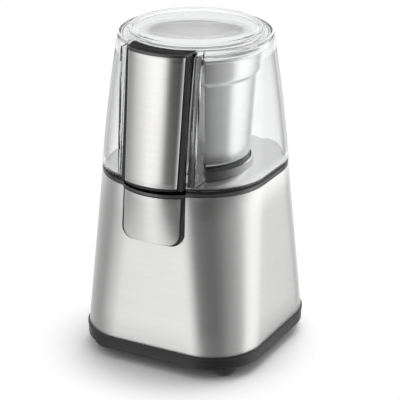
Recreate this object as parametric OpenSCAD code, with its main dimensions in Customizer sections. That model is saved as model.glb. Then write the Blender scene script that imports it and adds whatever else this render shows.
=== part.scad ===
// Electric spice grinder: a steel-clad motor base, a lift-out cup with a spinning blade,
// and a clear lid that carries a press-down power lever on its front.
// Millimetres, +Z up. The origin is on the spindle axis, on the surface that the feet stand on.
// The power lever faces -Y.

/* [Steel body] */
// Width across the flats at the bottom edge of the steel skin
body_bottom_width = 124.4; // [122:0.2:132]
// Width across the flats at the joint with the lid
body_top_width = 112.8; // [111:0.2:118]
// Corner radius at the bottom edge
body_bottom_corner = 35; // [30:1:42]
// Corner radius at the joint with the lid
body_top_corner = 43; // [38:1:48]
// Height of the steel skin
body_height = 106.8; // [104:0.2:125]
// Thickness of the steel skin
body_wall = 0.8; // [0.6:0.1:1.2]

/* [Base tray and feet] */
// Height that the feet lift the tray off the table
foot_height = 8.2; // [5:0.2:12]
// Diameter of a foot
foot_diameter = 18; // [14:0.5:20]
// Distance of each foot's middle from the edge of the tray
foot_inset = 19.2; // [18.2:0.5:21.2]
// Diameter of the peg that holds a foot
foot_peg_diameter = 8; // [6:0.5:9]
// Height of the tray's visible band
tray_height = 8; // [6:0.5:12]
// How far the tray's band stands out past the steel
tray_overhang = 1; // [0.4:0.1:2]
// Height of the thin lip along the top of the band
tray_lip = 1.4; // [0.8:0.1:2]
// How far the lip stands out past the band
tray_lip_reach = 0.4; // [0.2:0.1:0.8]
// Thickness of the tray's floor and walls
tray_wall = 2.2; // [1.6:0.1:3]
// Height of the wall that locates the tray inside the steel
tray_upstand = 6; // [4:0.5:6.5]
// Number of cooling slots in the tray's floor
vent_count = 12; // [8:1:16]
// Width of a cooling slot
vent_width = 2.8; // [2:0.1:3.4]

/* [Cord gland] */
// Height of the cord gland above the table
gland_height = 30; // [28:0.5:34]
// Bore that the mains cord passes through
gland_bore = 7.4; // [6:0.1:8.5]
// Diameter of the gland's outer flange
gland_diameter = 17; // [15:0.5:20]
// How far the gland stands out from the steel
gland_reach = 5; // [4:0.2:5.6]

/* [Top housing and deck] */
// Height of the black band between the steel and the lid
joint_band = 4; // [3.4:0.1:5]
// Thickness of the housing's walls
housing_wall = 2.4; // [2:0.1:2.8]
// Depth of the cup socket below the joint
socket_depth = 5.2; // [4.6:0.2:6]
// Thickness of the steel deck plate
deck_thickness = 0.8; // [0.6:0.1:1]
// Height of the step that centres the lid
deck_step = 1.2; // [1:0.1:1.6]
// Height of the deck's rolled collar round the cup
collar_height = 2.6; // [2:0.1:3]
// Distance of the screw posts from the middle plane, across
post_x = 28; // [26:0.5:29]
// Distance of the screw posts from the middle plane, front to back
post_y = 44.5; // [43:0.5:45]
// Diameter of a screw post
post_diameter = 8.4; // [7:0.2:9]

/* [Lid] */
// Height of the lid from the joint to its flat rim
lid_height = 88; // [87.6:0.2:98]
// Radius of the flat rim
lid_rim_radius = 50; // [49.6:0.1:52]
// Wall thickness of the clear lid
lid_wall = 2.5; // [2:0.1:2.7]
// How far the sides bow outwards half way up
lid_bow = 0.6; // [0.2:0.1:1]
// Radius of the edge round the rim
lid_edge = 1.6; // [1:0.1:2]
// Radius of the raised disc in the top
disc_radius = 43; // [41:0.2:43.4]
// Height of the raised disc above the rim
disc_rise = 3; // [2:0.1:4]
// How far the inner collar reaches down round the cup's rim
lid_collar_drop = 6.5; // [4:0.1:8]
// Thickness of the inner collar and of the lever channel's walls
channel_wall = 1.6; // [1.2:0.1:1.8]

/* [Power lever] */
// Width of the lever's moulded body, which passes through the slot in the lid
lever_width = 44; // [43:0.2:45]
// Width of its steel cover at the top
cover_top_width = 40.6; // [38:0.2:41]
// Width of its steel cover at the joint
cover_low_width = 36.8; // [34:0.2:39]
// Depth of the cover's bent edges
cover_flange = 1.4; // [1.2:0.1:1.8]
// How far the lever stands out past the lid's rim at the top
lever_top_reach = 4.4; // [4:0.1:5]
// How far the lever stands out past the lid at the joint
lever_bottom_reach = 10.2; // [9.4:0.1:10.8]
// Rise of the lever's rounded front between its edges and its middle, at the top
lever_crown = 3; // [2.4:0.1:3.6]
// Rise of its front at the joint
lever_low_crown = 5.8; // [5:0.1:6.4]
// Travel of the lever when it is pressed
lever_travel = 2.8; // [2:0.1:3]
// Thickness of the steel lever cover
lever_skin = 0.8; // [0.6:0.1:1]
// Height of the black cap on top of the lever
lever_cap = 2.2; // [2:0.1:3.4]
// Height of the black foot under the cover
lever_foot = 1.8; // [1.2:0.1:2.4]
// Width of the lever's flange across the tabs that hold it in its channel
flange_width = 50; // [48:0.5:52]
// Height of each tab
flange_tab = 10; // [8:0.5:14]
// Wall thickness of the lever's moulded carrier
carrier_wall = 2.2; // [1.8:0.1:2.6]
// Number of stiffening ribs inside the carrier
carrier_ribs = 4; // [2:1:6]

/* [Switch housing on the front] */
// Width of the black switch housing
tongue_width = 44.4; // [43:0.2:45]
// Width of its steel cover
tongue_cover_width = 40.4; // [38:0.2:41]
// How far the housing stands out past the steel at the joint
tongue_reach = 8; // [7:0.1:8.6]
// How far it stands out at its bottom edge
tongue_low_reach = 4.6; // [3.6:0.1:6]
// Rise of its rounded front at the joint
tongue_crown = 7.4; // [6:0.1:7.6]
// Rise of its front at the bottom edge
tongue_low_crown = 2.2; // [1:0.1:3.4]
// Height of the housing
tongue_height = 33; // [31:0.2:36]
// Radius of its bottom corners
tongue_corner = 8; // [5:0.5:10]

/* [Cup] */
// Radius of the cup's upper band
cup_radius = 42; // [41.6:0.1:42.2]
// Radius of the rolled rim
cup_rim_radius = 43.3; // [43:0.1:43.4]
// Radius of the tapered wall under the step
cup_step_radius = 39.6; // [38.6:0.1:40]
// Radius at the foot of the tapered wall
cup_foot_radius = 36.2; // [35.6:0.1:36.6]
// Gap between the cup's rim and the underside of the lid
cup_head_gap = 4.1; // [2.1:0.1:4.5]
// Height of the upper band
cup_band = 17; // [12:0.5:22]
// Thickness of the cup's steel
cup_wall = 0.9; // [0.7:0.1:1.1]
// Radius of the corner between wall and floor
cup_corner = 4; // [3:0.5:6]

/* [Blade] */
// Radius swept by the blade
blade_radius = 31; // [26:0.5:33]
// Thickness of the blade's steel
blade_thickness = 1.5; // [1.2:0.1:2]
// Width of a blade arm at the hub
blade_width = 14; // [11:0.5:15]
// Bend of the upper blade's tips
upper_tip_angle = 32; // [20:1:40]
// Bend of the lower blade's tips
lower_tip_angle = 12; // [8:1:14]
// Diameter of the blade shaft
blade_shaft_diameter = 6; // [5:0.1:7]

/* [Couplings] */
// Radius of the coupling halves
coupling_radius = 9.5; // [8.5:0.1:11]
// Height of the drive dogs
dog_height = 4.6; // [3.5:0.1:5]
// Number of drive dogs on each half
dog_count = 3; // [2:1:4]

/* [Motor] */
// Diameter of the motor shaft
motor_shaft_diameter = 6; // [5:0.1:7]
// Width of the lamination stack, across
stator_x = 62; // [60:0.5:66]
// Width of the lamination stack, front to back
stator_y = 54; // [52:0.5:56]
// Height of the lamination stack
stator_height = 32; // [28:0.5:33]
// Diameter of the armature
armature_diameter = 33.6; // [30:0.2:34]
// Number of armature slots
armature_slots = 12; // [10:1:16]
// Air gap between armature and stator
air_gap = 0.8; // [0.5:0.1:1]
// Overhang of the field coils past the laminations
coil_overhang = 6; // [5:0.2:6.6]
// Thickness of a field coil
coil_thickness = 6; // [5:0.2:6.2]
// Diameter of the commutator
commutator_diameter = 21; // [18:0.5:22]
// Number of commutator bars
commutator_bars = 24; // [16:2:30]
// Diameter of the cooling fan
fan_diameter = 50; // [40:1:56]
// Number of fan blades
fan_blades = 11; // [7:1:14]
// Outer diameter of a shaft bearing
bearing_diameter = 17; // [15:0.5:18]
// Width of a shaft bearing
bearing_width = 6; // [5:0.2:6.4]

/* [Switch] */
// Diameter of the plunger's head
plunger_diameter = 6; // [5:0.1:6.4]
// Diameter of the plunger's rod
plunger_rod_diameter = 3.6; // [3:0.1:4]
// Length of the snap switch
switch_length = 20; // [18:0.5:22]
// Depth of the snap switch, front to back
switch_depth = 6.4; // [5.6:0.1:6.8]
// Height of the snap switch
switch_height = 10.6; // [9.6:0.1:11.4]

/* [Hidden] */

$fn = 96;
// Segments in each corner of a lofted outline, and along a lever's rounded front
corner_steps = 16;
front_steps = 14;
// A cut runs this far past the face it opens
over = 1;

// Clearances: press-in, seated, sliding and running fits, and free space round moving parts
seat_gap = 0.05;
running_gap = 0.04;
slide_gap = 0.4;
free_gap = 0.8;
contact_gap = 0.15;

// Colours
steel = [0.78, 0.78, 0.8];
black = [0.06, 0.06, 0.065];
rubber = [0.1, 0.1, 0.1];
clear = [0.85, 0.9, 0.95, 0.35];
iron = [0.45, 0.46, 0.5];
copper = [0.72, 0.4, 0.2];
brass = [0.8, 0.65, 0.3];
alloy = [0.65, 0.66, 0.68];
nylon = [0.9, 0.9, 0.86];
carbon = [0.2, 0.2, 0.2];

// Levels from the table up
tray_z = foot_height;
body_z = tray_z + tray_height;
joint_z = body_z + body_height;
lid_z = joint_z + joint_band;
rim_z = lid_z + lid_height;
disc_z = rim_z + disc_rise;
deck_z = lid_z + deck_step;
deck_top_z = deck_z + deck_thickness;
socket_z = joint_z - socket_depth;
saddle_z = lid_z - joint_band / 2;

// The steel body's outline at a height
body_bottom_half = body_bottom_width / 2;
body_top_half = body_top_width / 2;
// A cut of this length passes right through the object
cut_reach = body_bottom_half + body_top_half;
function body_share(z) = (z - body_z) / body_height;
function body_half(z) = mix(body_bottom_half, body_top_half, body_share(z));
function body_corner(z) = mix(body_bottom_corner, body_top_corner, body_share(z));

// The lid's outline at a height: square at the joint, round at the rim
lid_flat = 0.05;
function lid_share(z) = (z - lid_z) / lid_height;
function lid_bulge(z) = 4 * lid_bow * lid_share(z) * (1 - lid_share(z));
function lid_half(z) = mix(body_top_half, lid_rim_radius, lid_share(z)) + lid_bulge(z);
function lid_corner(z) = mix(body_top_corner, lid_rim_radius - lid_flat, lid_share(z));
lid_steps = 5;
edge_steps = 4;
lid_roof_z = rim_z - lid_wall;

// The lever, the flange behind it, and the channel that the flange runs in
lever_half = lever_width / 2;
flange_half = flange_width / 2;
pocket_half = flange_half + slide_gap;
channel_inner = cup_rim_radius + slide_gap;
channel_outer = channel_inner + channel_wall;
channel_half = pocket_half + channel_wall;
slot_half = lever_half + slide_gap;
channel_low_z = deck_top_z + slide_gap;

// The switch housing, the plunger under the lever and the switch under the plunger
tongue_z = joint_z;
cover_top_gap = 0.6;
cover_top_z = joint_z - cover_top_gap;
cover_margin = 1;
tongue_bottom_z = tongue_z - tongue_height;
tongue_half = tongue_width / 2;
tongue_cover_half = tongue_cover_width / 2;
housing_spigot = 3;
plunger_inset = 0.4;
plunger_guide = 11;
plunger_web = 1.6;
switch_drop = 19;
plunger_y = -(body_top_half - plunger_inset);
plunger_web_z = saddle_z - plunger_guide;
plunger_boss_z = plunger_web_z - plunger_web;
switch_z = plunger_boss_z - switch_drop;

function mix(a, b, share) = a + (b - a) * share;

// Corners of a rounded square, anticlockwise seen from above
function arc_points(x, y, r, start) = [
    for (i = [0:corner_steps]) [x + r * cos(start + 90 * i / corner_steps),
                                y + r * sin(start + 90 * i / corner_steps)]
];
function square_points(half, corner) = concat(
    arc_points(half - corner, half - corner, corner, 0),
    arc_points(corner - half, half - corner, corner, 90),
    arc_points(corner - half, corner - half, corner, 180),
    arc_points(half - corner, corner - half, corner, 270)
);

// A bar with a rounded front: back edge at y = back, front middle at y = front
function crown_radius(half, crown) = (half * half + crown * crown) / (2 * crown);
function crowned_points(half, front, crown, back) = let (
    radius = crown_radius(half, crown),
    reach = asin(half / radius)
) concat(
    [[half, back], [-half, back]],
    [for (i = [0:front_steps]) let (a = mix(-reach, reach, i / front_steps))
        [radius * sin(a), front + radius * (1 - cos(a))]]
);

// A solid through rings of points at given levels, every ring with the same number of points
module loft(levels, rings) {
    n = len(rings[0]);
    last = (len(rings) - 1) * n;
    polyhedron(
        points = [for (k = [0:len(rings) - 1]) for (p = rings[k]) [p[0], p[1], levels[k]]],
        faces = concat(
            [[for (i = [0:n - 1]) i]],
            [[for (i = [n - 1:-1:0]) last + i]],
            [for (k = [0:len(rings) - 2]) for (i = [0:n - 1])
                [k * n + i, (k + 1) * n + i, (k + 1) * n + (i + 1) % n]],
            [for (k = [0:len(rings) - 2]) for (i = [0:n - 1])
                [k * n + i, (k + 1) * n + (i + 1) % n, k * n + (i + 1) % n]]
        )
    );
}

module rounded_rectangle(half_x, half_y, corner) {
    square([2 * (half_x - corner), 2 * half_y], center = true);
    square([2 * half_x, 2 * (half_y - corner)], center = true);
    for (x = [-1, 1], y = [-1, 1])
        translate([x * (half_x - corner), y * (half_y - corner)]) circle(r = corner);
}

module rounded_slab(low, high, half, corner) {
    translate([0, 0, low]) linear_extrude(high - low)
        rounded_rectangle(half, half, corner);
}

module crowned_slab(low, high, half, front, crown, back) {
    translate([0, 0, low]) linear_extrude(high - low)
        polygon(crowned_points(half, front, crown, back));
}

module rod(low, high, r) {
    translate([0, 0, low]) cylinder(h = high - low, r = r);
}

module ring(low, high, inner, outer) {
    difference() {
        rod(low, high, outer);
        rod(low - over, high + over, inner);
    }
}

module bar(x0, x1, y0, y1, z0, z1) {
    translate([x0, y0, z0]) cube([x1 - x0, y1 - y0, z1 - z0]);
}

module four_corners(x, y) {
    for (sx = [-1, 1], sy = [-1, 1]) translate([sx * x, sy * y, 0]) children();
}

module both_sides() {
    children();
    mirror([1, 0, 0]) children();
}

module spring(low, high, coil_radius, wire, turns) {
    pitch = (high - low - wire) / turns;
    steps = 8;
    sides = 5;
    count = turns * steps;
    loft_tube([for (i = [0:count]) [coil_radius * cos(360 * i / steps),
        coil_radius * sin(360 * i / steps), low + wire / 2 + pitch * i / steps]],
        coil_radius, wire / 2, sides, steps);
}

// A round wire whose rings stand across a coil about the Z axis
module loft_tube(path, coil_radius, wire_radius, sides, steps) {
    n = sides;
    last = (len(path) - 1) * n;
    function ring_point(i, j) = let (a = 360 * i / steps, b = 360 * j / n)
        path[i] + wire_radius * [cos(b) * cos(a), cos(b) * sin(a), sin(b)];
    polyhedron(
        points = [for (i = [0:len(path) - 1]) for (j = [0:n - 1]) ring_point(i, j)],
        faces = concat(
            [[for (j = [n - 1:-1:0]) j]],
            [[for (j = [0:n - 1]) last + j]],
            [for (i = [0:len(path) - 2]) for (j = [0:n - 1])
                [i * n + j, i * n + (j + 1) % n, (i + 1) * n + (j + 1) % n]],
            [for (i = [0:len(path) - 2]) for (j = [0:n - 1])
                [i * n + j, (i + 1) * n + (j + 1) % n, (i + 1) * n + j]]
        )
    );
}

// ---------------------------------------------------------------- steel body

// Window in the steel behind the switch housing
window_half = 14;
window_sill = 4;
window_lintel = 1;
window_low = tongue_bottom_z + window_sill;
window_high = joint_z - housing_spigot - window_lintel;

module body_volume(inset, low, high) {
    levels = [low, high];
    loft(levels, [for (z = levels) square_points(body_half(z) - inset, body_corner(z) - inset)]);
}

module body_shell() {
    color(steel) difference() {
        body_volume(0, body_z, joint_z);
        body_volume(body_wall, body_z - over, joint_z + over);
        bar(-window_half, window_half, -cut_reach, 0, window_low, window_high);
        bar(-plunger_boss - slide_gap, plunger_boss + slide_gap, -cut_reach, 0,
            window_low, joint_z + over);
        translate([0, 0, gland_height]) rotate([-90, 0, 0])
            cylinder(h = cut_reach, r = gland_neck_radius + seat_gap);
    }
}

// ---------------------------------------------------------------- base tray, feet, gland

tray_half = body_bottom_half + tray_overhang;
tray_corner = body_bottom_corner + tray_overhang;
foot_offset = tray_half - foot_inset;
tray_floor_z = tray_z + tray_wall;
upstand_top_z = body_z + tray_upstand;
upstand_half = body_half(upstand_top_z) - body_wall - slide_gap;
upstand_corner = body_corner(upstand_top_z) - body_wall - slide_gap;
foot_peg_radius = foot_peg_diameter / 2;
foot_radius = foot_diameter / 2;
post_radius = post_diameter / 2;
screw_radius = 1.5;
screw_head_radius = 3;
screw_head_height = 2;
driver_slot_half = 0.4;
head_sink = 4.5;
head_seat_z = tray_z + head_sink;
vent_inner = 14;
vent_outer = 34;

module tray_vents() {
    for (i = [0:vent_count - 1]) rotate([0, 0, 360 * (i + 0.5) / vent_count])
        translate([vent_inner, -vent_width / 2, tray_z - over])
            cube([vent_outer - vent_inner, vent_width, tray_wall + 2 * over]);
}

module base_tray() {
    color(black) difference() {
        union() {
            rounded_slab(tray_z, body_z, tray_half - tray_lip_reach, tray_corner - tray_lip_reach);
            rounded_slab(body_z - tray_lip, body_z, tray_half, tray_corner);
            rounded_slab(body_z - over, upstand_top_z, upstand_half, upstand_corner);
        }
        difference() {
            rounded_slab(tray_floor_z, upstand_top_z + over,
                upstand_half - tray_wall, upstand_corner - tray_wall);
            four_corners(post_x, post_y) rod(tray_z, upstand_top_z, post_radius);
        }
        four_corners(post_x, post_y) {
            rod(tray_z - over, upstand_top_z + over, post_bore);
            rod(tray_z - over, head_seat_z, screw_head_radius + slide_gap);
        }
        four_corners(foot_offset, foot_offset)
            rod(tray_z - over, tray_floor_z + over, foot_peg_radius + seat_gap);
        tray_vents();
    }
}

// A foot narrows in these steps to a ring that it stands on
foot_step = 1;
foot_barb = 0.8;
foot_barb_height = 2;

module foot(side_x, side_y) {
    color(rubber) translate([side_x * foot_offset, side_y * foot_offset, 0]) rotate_extrude()
        polygon([
            [0, foot_step], [foot_radius - 6 * foot_step, foot_step],
            [foot_radius - 5 * foot_step, 0], [foot_radius - 4 * foot_step, 0],
            [foot_radius - 2 * foot_step, foot_step], [foot_radius - foot_step / 2, 3 * foot_step],
            [foot_radius, tray_z], [foot_peg_radius, tray_z],
            [foot_peg_radius, tray_floor_z + seat_gap],
            [foot_peg_radius + foot_barb, tray_floor_z + seat_gap],
            [foot_peg_radius - foot_barb, tray_floor_z + foot_barb_height],
            [0, tray_floor_z + foot_barb_height]
        ]);
}

module foot_front_left() { foot(-1, -1); }
module foot_front_right() { foot(1, -1); }
module foot_rear_left() { foot(-1, 1); }
module foot_rear_right() { foot(1, 1); }

base_screw_grip = 12;

module base_screws() {
    color(iron) four_corners(post_x, post_y) difference() {
        union() {
            rod(head_seat_z - screw_head_height, head_seat_z, screw_head_radius);
            rod(head_seat_z, upstand_top_z + base_screw_grip, screw_radius);
        }
        bar(-screw_head_radius, screw_head_radius, -driver_slot_half, driver_slot_half,
            head_seat_z - screw_head_height - over, head_seat_z - screw_head_height / 2);
    }
}

gland_wall = 2.2;
gland_grip = 1;
gland_bore_radius = gland_bore / 2;
gland_neck_radius = gland_bore_radius + gland_wall;
gland_flange_radius = gland_diameter / 2;
gland_tail_radius = gland_neck_radius + gland_grip;
gland_face_y = body_half(gland_height - gland_flange_radius);
gland_end_y = gland_face_y + gland_reach;
gland_inner_y = body_half(gland_height + gland_tail_radius) - body_wall;
gland_tail = 3;
gland_taper = 3;

// A turned rubber bush that grips the edge of the hole in the steel
module cord_gland() {
    color(rubber) translate([0, 0, gland_height]) rotate([-90, 0, 0]) rotate_extrude()
        polygon([
            [gland_bore_radius, gland_inner_y - gland_tail],
            [gland_tail_radius, gland_inner_y - gland_tail],
            [gland_tail_radius, gland_inner_y - seat_gap],
            [gland_neck_radius, gland_inner_y - seat_gap], [gland_neck_radius, gland_face_y + seat_gap],
            [gland_flange_radius, gland_face_y + seat_gap],
            [gland_flange_radius - gland_taper, gland_end_y],
            [gland_bore_radius, gland_end_y]
        ]);
}

// ---------------------------------------------------------------- top housing and deck

socket_radius = cup_foot_radius + free_gap;
socket_outer = socket_radius + housing_wall;
coupling_space = 3;
socket_hole = coupling_radius + coupling_space;
spigot_half = body_top_half - body_wall - 2 * slide_gap;
spigot_corner = body_top_corner - body_wall - 2 * slide_gap;
step_half = body_top_half - lid_wall - slide_gap;
step_corner = body_top_corner - lid_wall - slide_gap;
post_bore = screw_radius + 2 * seat_gap;

// The lever's recess through the band, the step and the deck
recess_half = lever_half + slide_gap;
recess_back = channel_outer - slide_gap;

module lever_recess(low, high) {
    difference() {
        bar(-recess_half, recess_half, -cut_reach, 0, low, high);
        rod(low - over, high + over, recess_back);
    }
}

plunger_radius = plunger_diameter / 2;
plunger_rod_radius = plunger_rod_diameter / 2;
plunger_bore = plunger_radius + slide_gap;
plunger_boss_wall = 1.2;
plunger_boss = plunger_bore + plunger_boss_wall;

// The bracket that hangs from the housing and carries the snap switch
bracket_margin = 2;
bracket_offset = 9;
bracket_thickness = 2;
bracket_foot = 1;
bracket_half = switch_length / 2 + bracket_margin;
bracket_front = plunger_y + bracket_offset;
bracket_back = bracket_front + bracket_thickness;
bracket_low = switch_z - bracket_foot;

motor_boss_reach = 33;
motor_boss_radius = 4;
boss_roof = 0.6;

// The four points that the motor hangs from, on the centre planes
module motor_bosses() {
    for (i = [0:3]) rotate([0, 0, 90 * i]) translate([motor_boss_reach, 0, 0]) children();
}

module plunger_position() {
    translate([0, plunger_y, 0]) children();
}

module housing_blank() {
    rounded_slab(joint_z, lid_z, body_top_half, body_top_corner);
    rounded_slab(lid_z - over, deck_z, step_half, step_corner);
    difference() {
        rounded_slab(joint_z - housing_spigot, joint_z + over, spigot_half, spigot_corner);
        rounded_slab(joint_z - housing_spigot - over, joint_z, spigot_half - housing_wall,
            spigot_corner - housing_wall);
    }
    rod(socket_z - housing_wall, joint_z + over, socket_outer);
    four_corners(post_x, post_y) rod(upstand_top_z + seat_gap, joint_z + over, post_radius);
    motor_bosses()
        rod(grommet_top_z + seat_gap, socket_z, motor_boss_radius);
    plunger_position() rod(plunger_boss_z, saddle_z, plunger_boss);
    crowned_slab(tongue_z, saddle_z, tongue_half, tongue_front, tongue_crown,
        tongue_front + tongue_depth);
    bar(-bracket_half, bracket_half, bracket_front, bracket_back, bracket_low, joint_z + over);
}

module top_housing() {
    color(black) difference() {
        housing_blank();
        rod(socket_z, deck_z + over, socket_radius);
        rod(socket_z - 2 * housing_wall, socket_z + over, socket_hole);
        lever_recess(saddle_z, deck_z + over);
        plunger_position() {
            rod(plunger_web_z, saddle_z + over, plunger_bore);
            rod(plunger_boss_z - over, plunger_web_z + over, plunger_rod_radius + contact_gap);
        }
        four_corners(post_x, post_y)
            rod(upstand_top_z - over, upstand_top_z + base_screw_grip + over, post_bore);
        motor_bosses()
            rod(grommet_top_z - over, socket_z - boss_roof, post_bore);
        for (x = [-1, 1]) translate([x * switch_hole_x, 0, switch_hole_z]) rotate([90, 0, 0])
            cylinder(h = cut_reach, r = switch_screw_radius + seat_gap);
    }
}

collar_wall = 1.4;
collar_radius = socket_radius + collar_wall;

module deck_plate() {
    color(steel) difference() {
        union() {
            rounded_slab(deck_z, deck_top_z, step_half, step_corner);
            rod(deck_z, deck_top_z + collar_height, collar_radius);
        }
        rod(deck_z - over, deck_top_z + collar_height + over, socket_radius);
        lever_recess(deck_z - over, deck_top_z + over);
    }
}

// ---------------------------------------------------------------- switch housing on the front

tongue_front = -(body_top_half + tongue_reach);
tongue_low_front = -(body_half(tongue_bottom_z) + tongue_low_reach);
tongue_depth = 16;
tongue_wall = 1.6;

module tongue_volume(inset, half) {
    levels = [tongue_bottom_z, tongue_z];
    fronts = [tongue_low_front, tongue_front];
    crowns = [tongue_low_crown, tongue_crown];
    loft(levels, [for (k = [0, 1])
        crowned_points(half, fronts[k] + inset, crowns[k], fronts[k] + tongue_depth)]);
}

// The housing's front outline, square at the top and round at its bottom corners
module tongue_outline(half, inset) {
    corner = tongue_corner - inset;
    rotate([90, 0, 0]) linear_extrude(cut_reach) {
        translate([-half, tongue_bottom_z + inset + corner])
            square([2 * half, tongue_z - tongue_bottom_z - inset - corner]);
        translate([corner - half, tongue_bottom_z + inset])
            square([2 * (half - corner), corner + over]);
        for (x = [-1, 1]) translate([x * (half - corner), tongue_bottom_z + inset + corner])
            circle(r = corner);
    }
}

module switch_housing() {
    color(black) difference() {
        intersection() {
            tongue_volume(lever_skin, tongue_half);
            tongue_outline(tongue_half, 0);
        }
        body_volume(-seat_gap, body_z, joint_z);
        intersection() {
            tongue_volume(lever_skin + tongue_wall, tongue_half - tongue_wall);
            tongue_outline(tongue_half - tongue_wall, tongue_wall);
        }
    }
}

module switch_cover() {
    color(steel) difference() {
        intersection() {
            tongue_volume(0, tongue_half);
            tongue_outline(tongue_cover_half, cover_margin);
        }
        tongue_volume(lever_skin - seat_gap, tongue_half);
        body_volume(-seat_gap, body_z, joint_z);
        bar(-tongue_half, tongue_half, -cut_reach, 0, cover_top_z, joint_z + over);
    }
}

// ---------------------------------------------------------------- lid

module lid_volume(inset, top) {
    sides = [for (i = [0:lid_steps]) mix(lid_z, top - lid_edge, i / lid_steps)];
    edge = [for (i = [1:edge_steps]) 90 * i / edge_steps];
    levels = concat(sides, [for (a = edge) top - lid_edge * (1 - sin(a))]);
    rings = concat(
        [for (z = sides) square_points(lid_half(z) - inset, lid_corner(z) - inset)],
        [for (a = edge) square_points(lid_half(top) - inset - lid_edge * (1 - cos(a)),
            lid_corner(top) - inset - lid_edge * (1 - cos(a)))]
    );
    loft(levels, rings);
}

module lid_shell() {
    color(clear) difference() {
        union() {
            difference() {
                lid_volume(0, rim_z);
                lid_volume(lid_wall, lid_roof_z);
                bar(-body_top_half, body_top_half, -body_top_half, body_top_half,
                    lid_z - over, lid_z);
            }
            rod(lid_roof_z, disc_z, disc_radius);
            ring(lid_roof_z - lid_collar_drop, lid_roof_z + over / 2, channel_inner, channel_outer);
            intersection() {
                lid_volume(lid_wall / 2, rim_z - over);
                lever_channel();
            }
        }
        rod(lid_roof_z - over, disc_z - lid_wall, disc_radius - lid_wall);
        difference() {
            bar(-slot_half, slot_half, -cut_reach, 0, lid_z - over, rim_z + over);
            rod(lid_z - 2 * over, rim_z + 2 * over, channel_outer);
        }
    }
}

// The walls that guide the lever's flange: a curved back and two sides
module lever_channel() {
    intersection() {
        ring(channel_low_z, rim_z - over, channel_inner, channel_outer);
        bar(-channel_half, channel_half, -body_top_half, 0, lid_z, rim_z);
    }
    both_sides() difference() {
        bar(pocket_half, channel_half, -body_top_half, 0, channel_low_z, rim_z - over);
        rod(lid_z - over, rim_z, channel_inner + channel_wall / 2);
    }
}

// ---------------------------------------------------------------- power lever

lever_back = channel_outer + slide_gap;
lever_low_z = saddle_z + lever_travel + contact_gap + seat_gap;
lever_skin_low_z = lever_low_z + lever_foot;
lever_skin_top_z = rim_z - lever_cap;
lever_top_front = -(lid_rim_radius + lever_top_reach);
lever_bottom_front = -(body_top_half + lever_bottom_reach);
flange_top_z = lid_roof_z - free_gap;
flange_lift = 8.6;
flange_low_z = lever_low_z + flange_lift;

function lever_front(z) = mix(lever_bottom_front, lever_top_front, lid_share(z));
function lever_rise(z) = mix(lever_low_crown, lever_crown, lid_share(z));
function cover_half(z) = mix(cover_low_width, cover_top_width, lid_share(z)) / 2;
// The moulded body's front, level with the back edges of the steel cover
function shoulder(z) = lever_front(z) + lever_rise(z) + cover_flange;

// The lever's rounded front, from its middle to a little way behind the cover's back edges
module lever_bar(inset, low, high, behind) {
    levels = [low, high];
    loft(levels, [for (z = levels)
        crowned_points(cover_half(z) - inset, lever_front(z) + inset, lever_rise(z), shoulder(z) + behind)]);
}

// The wider body behind it, which passes through the slot in the lid
module lever_body(low, high) {
    levels = [low, high];
    loft(levels, [for (z = levels) [
        [lever_half, 0], [-lever_half, 0], [-lever_half, shoulder(z) + seat_gap],
        [lever_half, shoulder(z) + seat_gap]
    ]]);
}

module lever_carrier() {
    color(black) difference() {
        union() {
            lever_bar(lever_skin + seat_gap, lever_skin_low_z - over, lever_skin_top_z, over);
            lever_bar(0, lever_low_z, lever_skin_low_z, over);
            lever_body(lever_low_z, lever_skin_top_z);
            lever_flange();
        }
        rod(lever_low_z - over, rim_z, lever_back);
        carrier_core();
    }
}

// Tabs at the top and the bottom, behind the slot, that follow the inside of the lid
module lever_flange() {
    intersection() {
        lid_volume(lid_wall + slide_gap, lid_roof_z);
        for (low = [flange_low_z, flange_top_z - flange_tab])
            bar(-flange_half, flange_half, -cut_reach, 0, low, low + flange_tab);
    }
}

// Hollow moulded from behind, with ribs left across it
module carrier_core() {
    bay = (lever_skin_top_z - lever_skin_low_z - carrier_wall) / (carrier_ribs + 1);
    for (i = [0:carrier_ribs]) {
        low = lever_skin_low_z + carrier_wall + bay * i;
        high = low + bay - carrier_wall;
        lever_bar(lever_skin + carrier_wall, low, high, cut_reach);
    }
}

module lever_cover() {
    color(steel) difference() {
        lever_bar(0, lever_skin_low_z, lever_skin_top_z, 0);
        lever_bar(lever_skin, lever_skin_low_z - over, lever_skin_top_z + over, over);
    }
}

module lever_cap_piece() {
    color(black) difference() {
        union() {
            lever_bar(0, lever_skin_top_z + seat_gap, rim_z, over);
            lever_body(lever_skin_top_z + seat_gap, rim_z);
        }
        rod(lever_low_z, rim_z + over, lever_back);
    }
}

retainer_height = 1.6;
retainer_low_z = channel_low_z + slide_gap / 2;
retainer_front = 2 * lid_wall - body_top_half;
lever_spring_x = (slot_half + pocket_half) / 2;
// The channel's back wall beside the springs, which stand midway between it and the lid's front wall
channel_back = sqrt(channel_outer * channel_outer - lever_spring_x * lever_spring_x);
lever_spring_y = -(channel_back + lid_half(flange_low_z) - lid_wall) / 2;
lever_spring_radius = 1.1;
lever_spring_turns = 6;
spring_wire = 0.5;

// Small feet pressed into the bottom of the channel, under the return springs
module lever_retainers() {
    color(black) both_sides() difference() {
        bar(slot_half, pocket_half - seat_gap, retainer_front, -channel_back,
            retainer_low_z, retainer_low_z + retainer_height);
        rod(lid_z - over, rim_z, channel_outer + seat_gap);
    }
}

module lever_springs() {
    color(iron) both_sides() translate([lever_spring_x, lever_spring_y, 0])
        spring(retainer_low_z + retainer_height + seat_gap, flange_low_z - seat_gap,
            lever_spring_radius, spring_wire, lever_spring_turns);
}

// ---------------------------------------------------------------- switch

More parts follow.
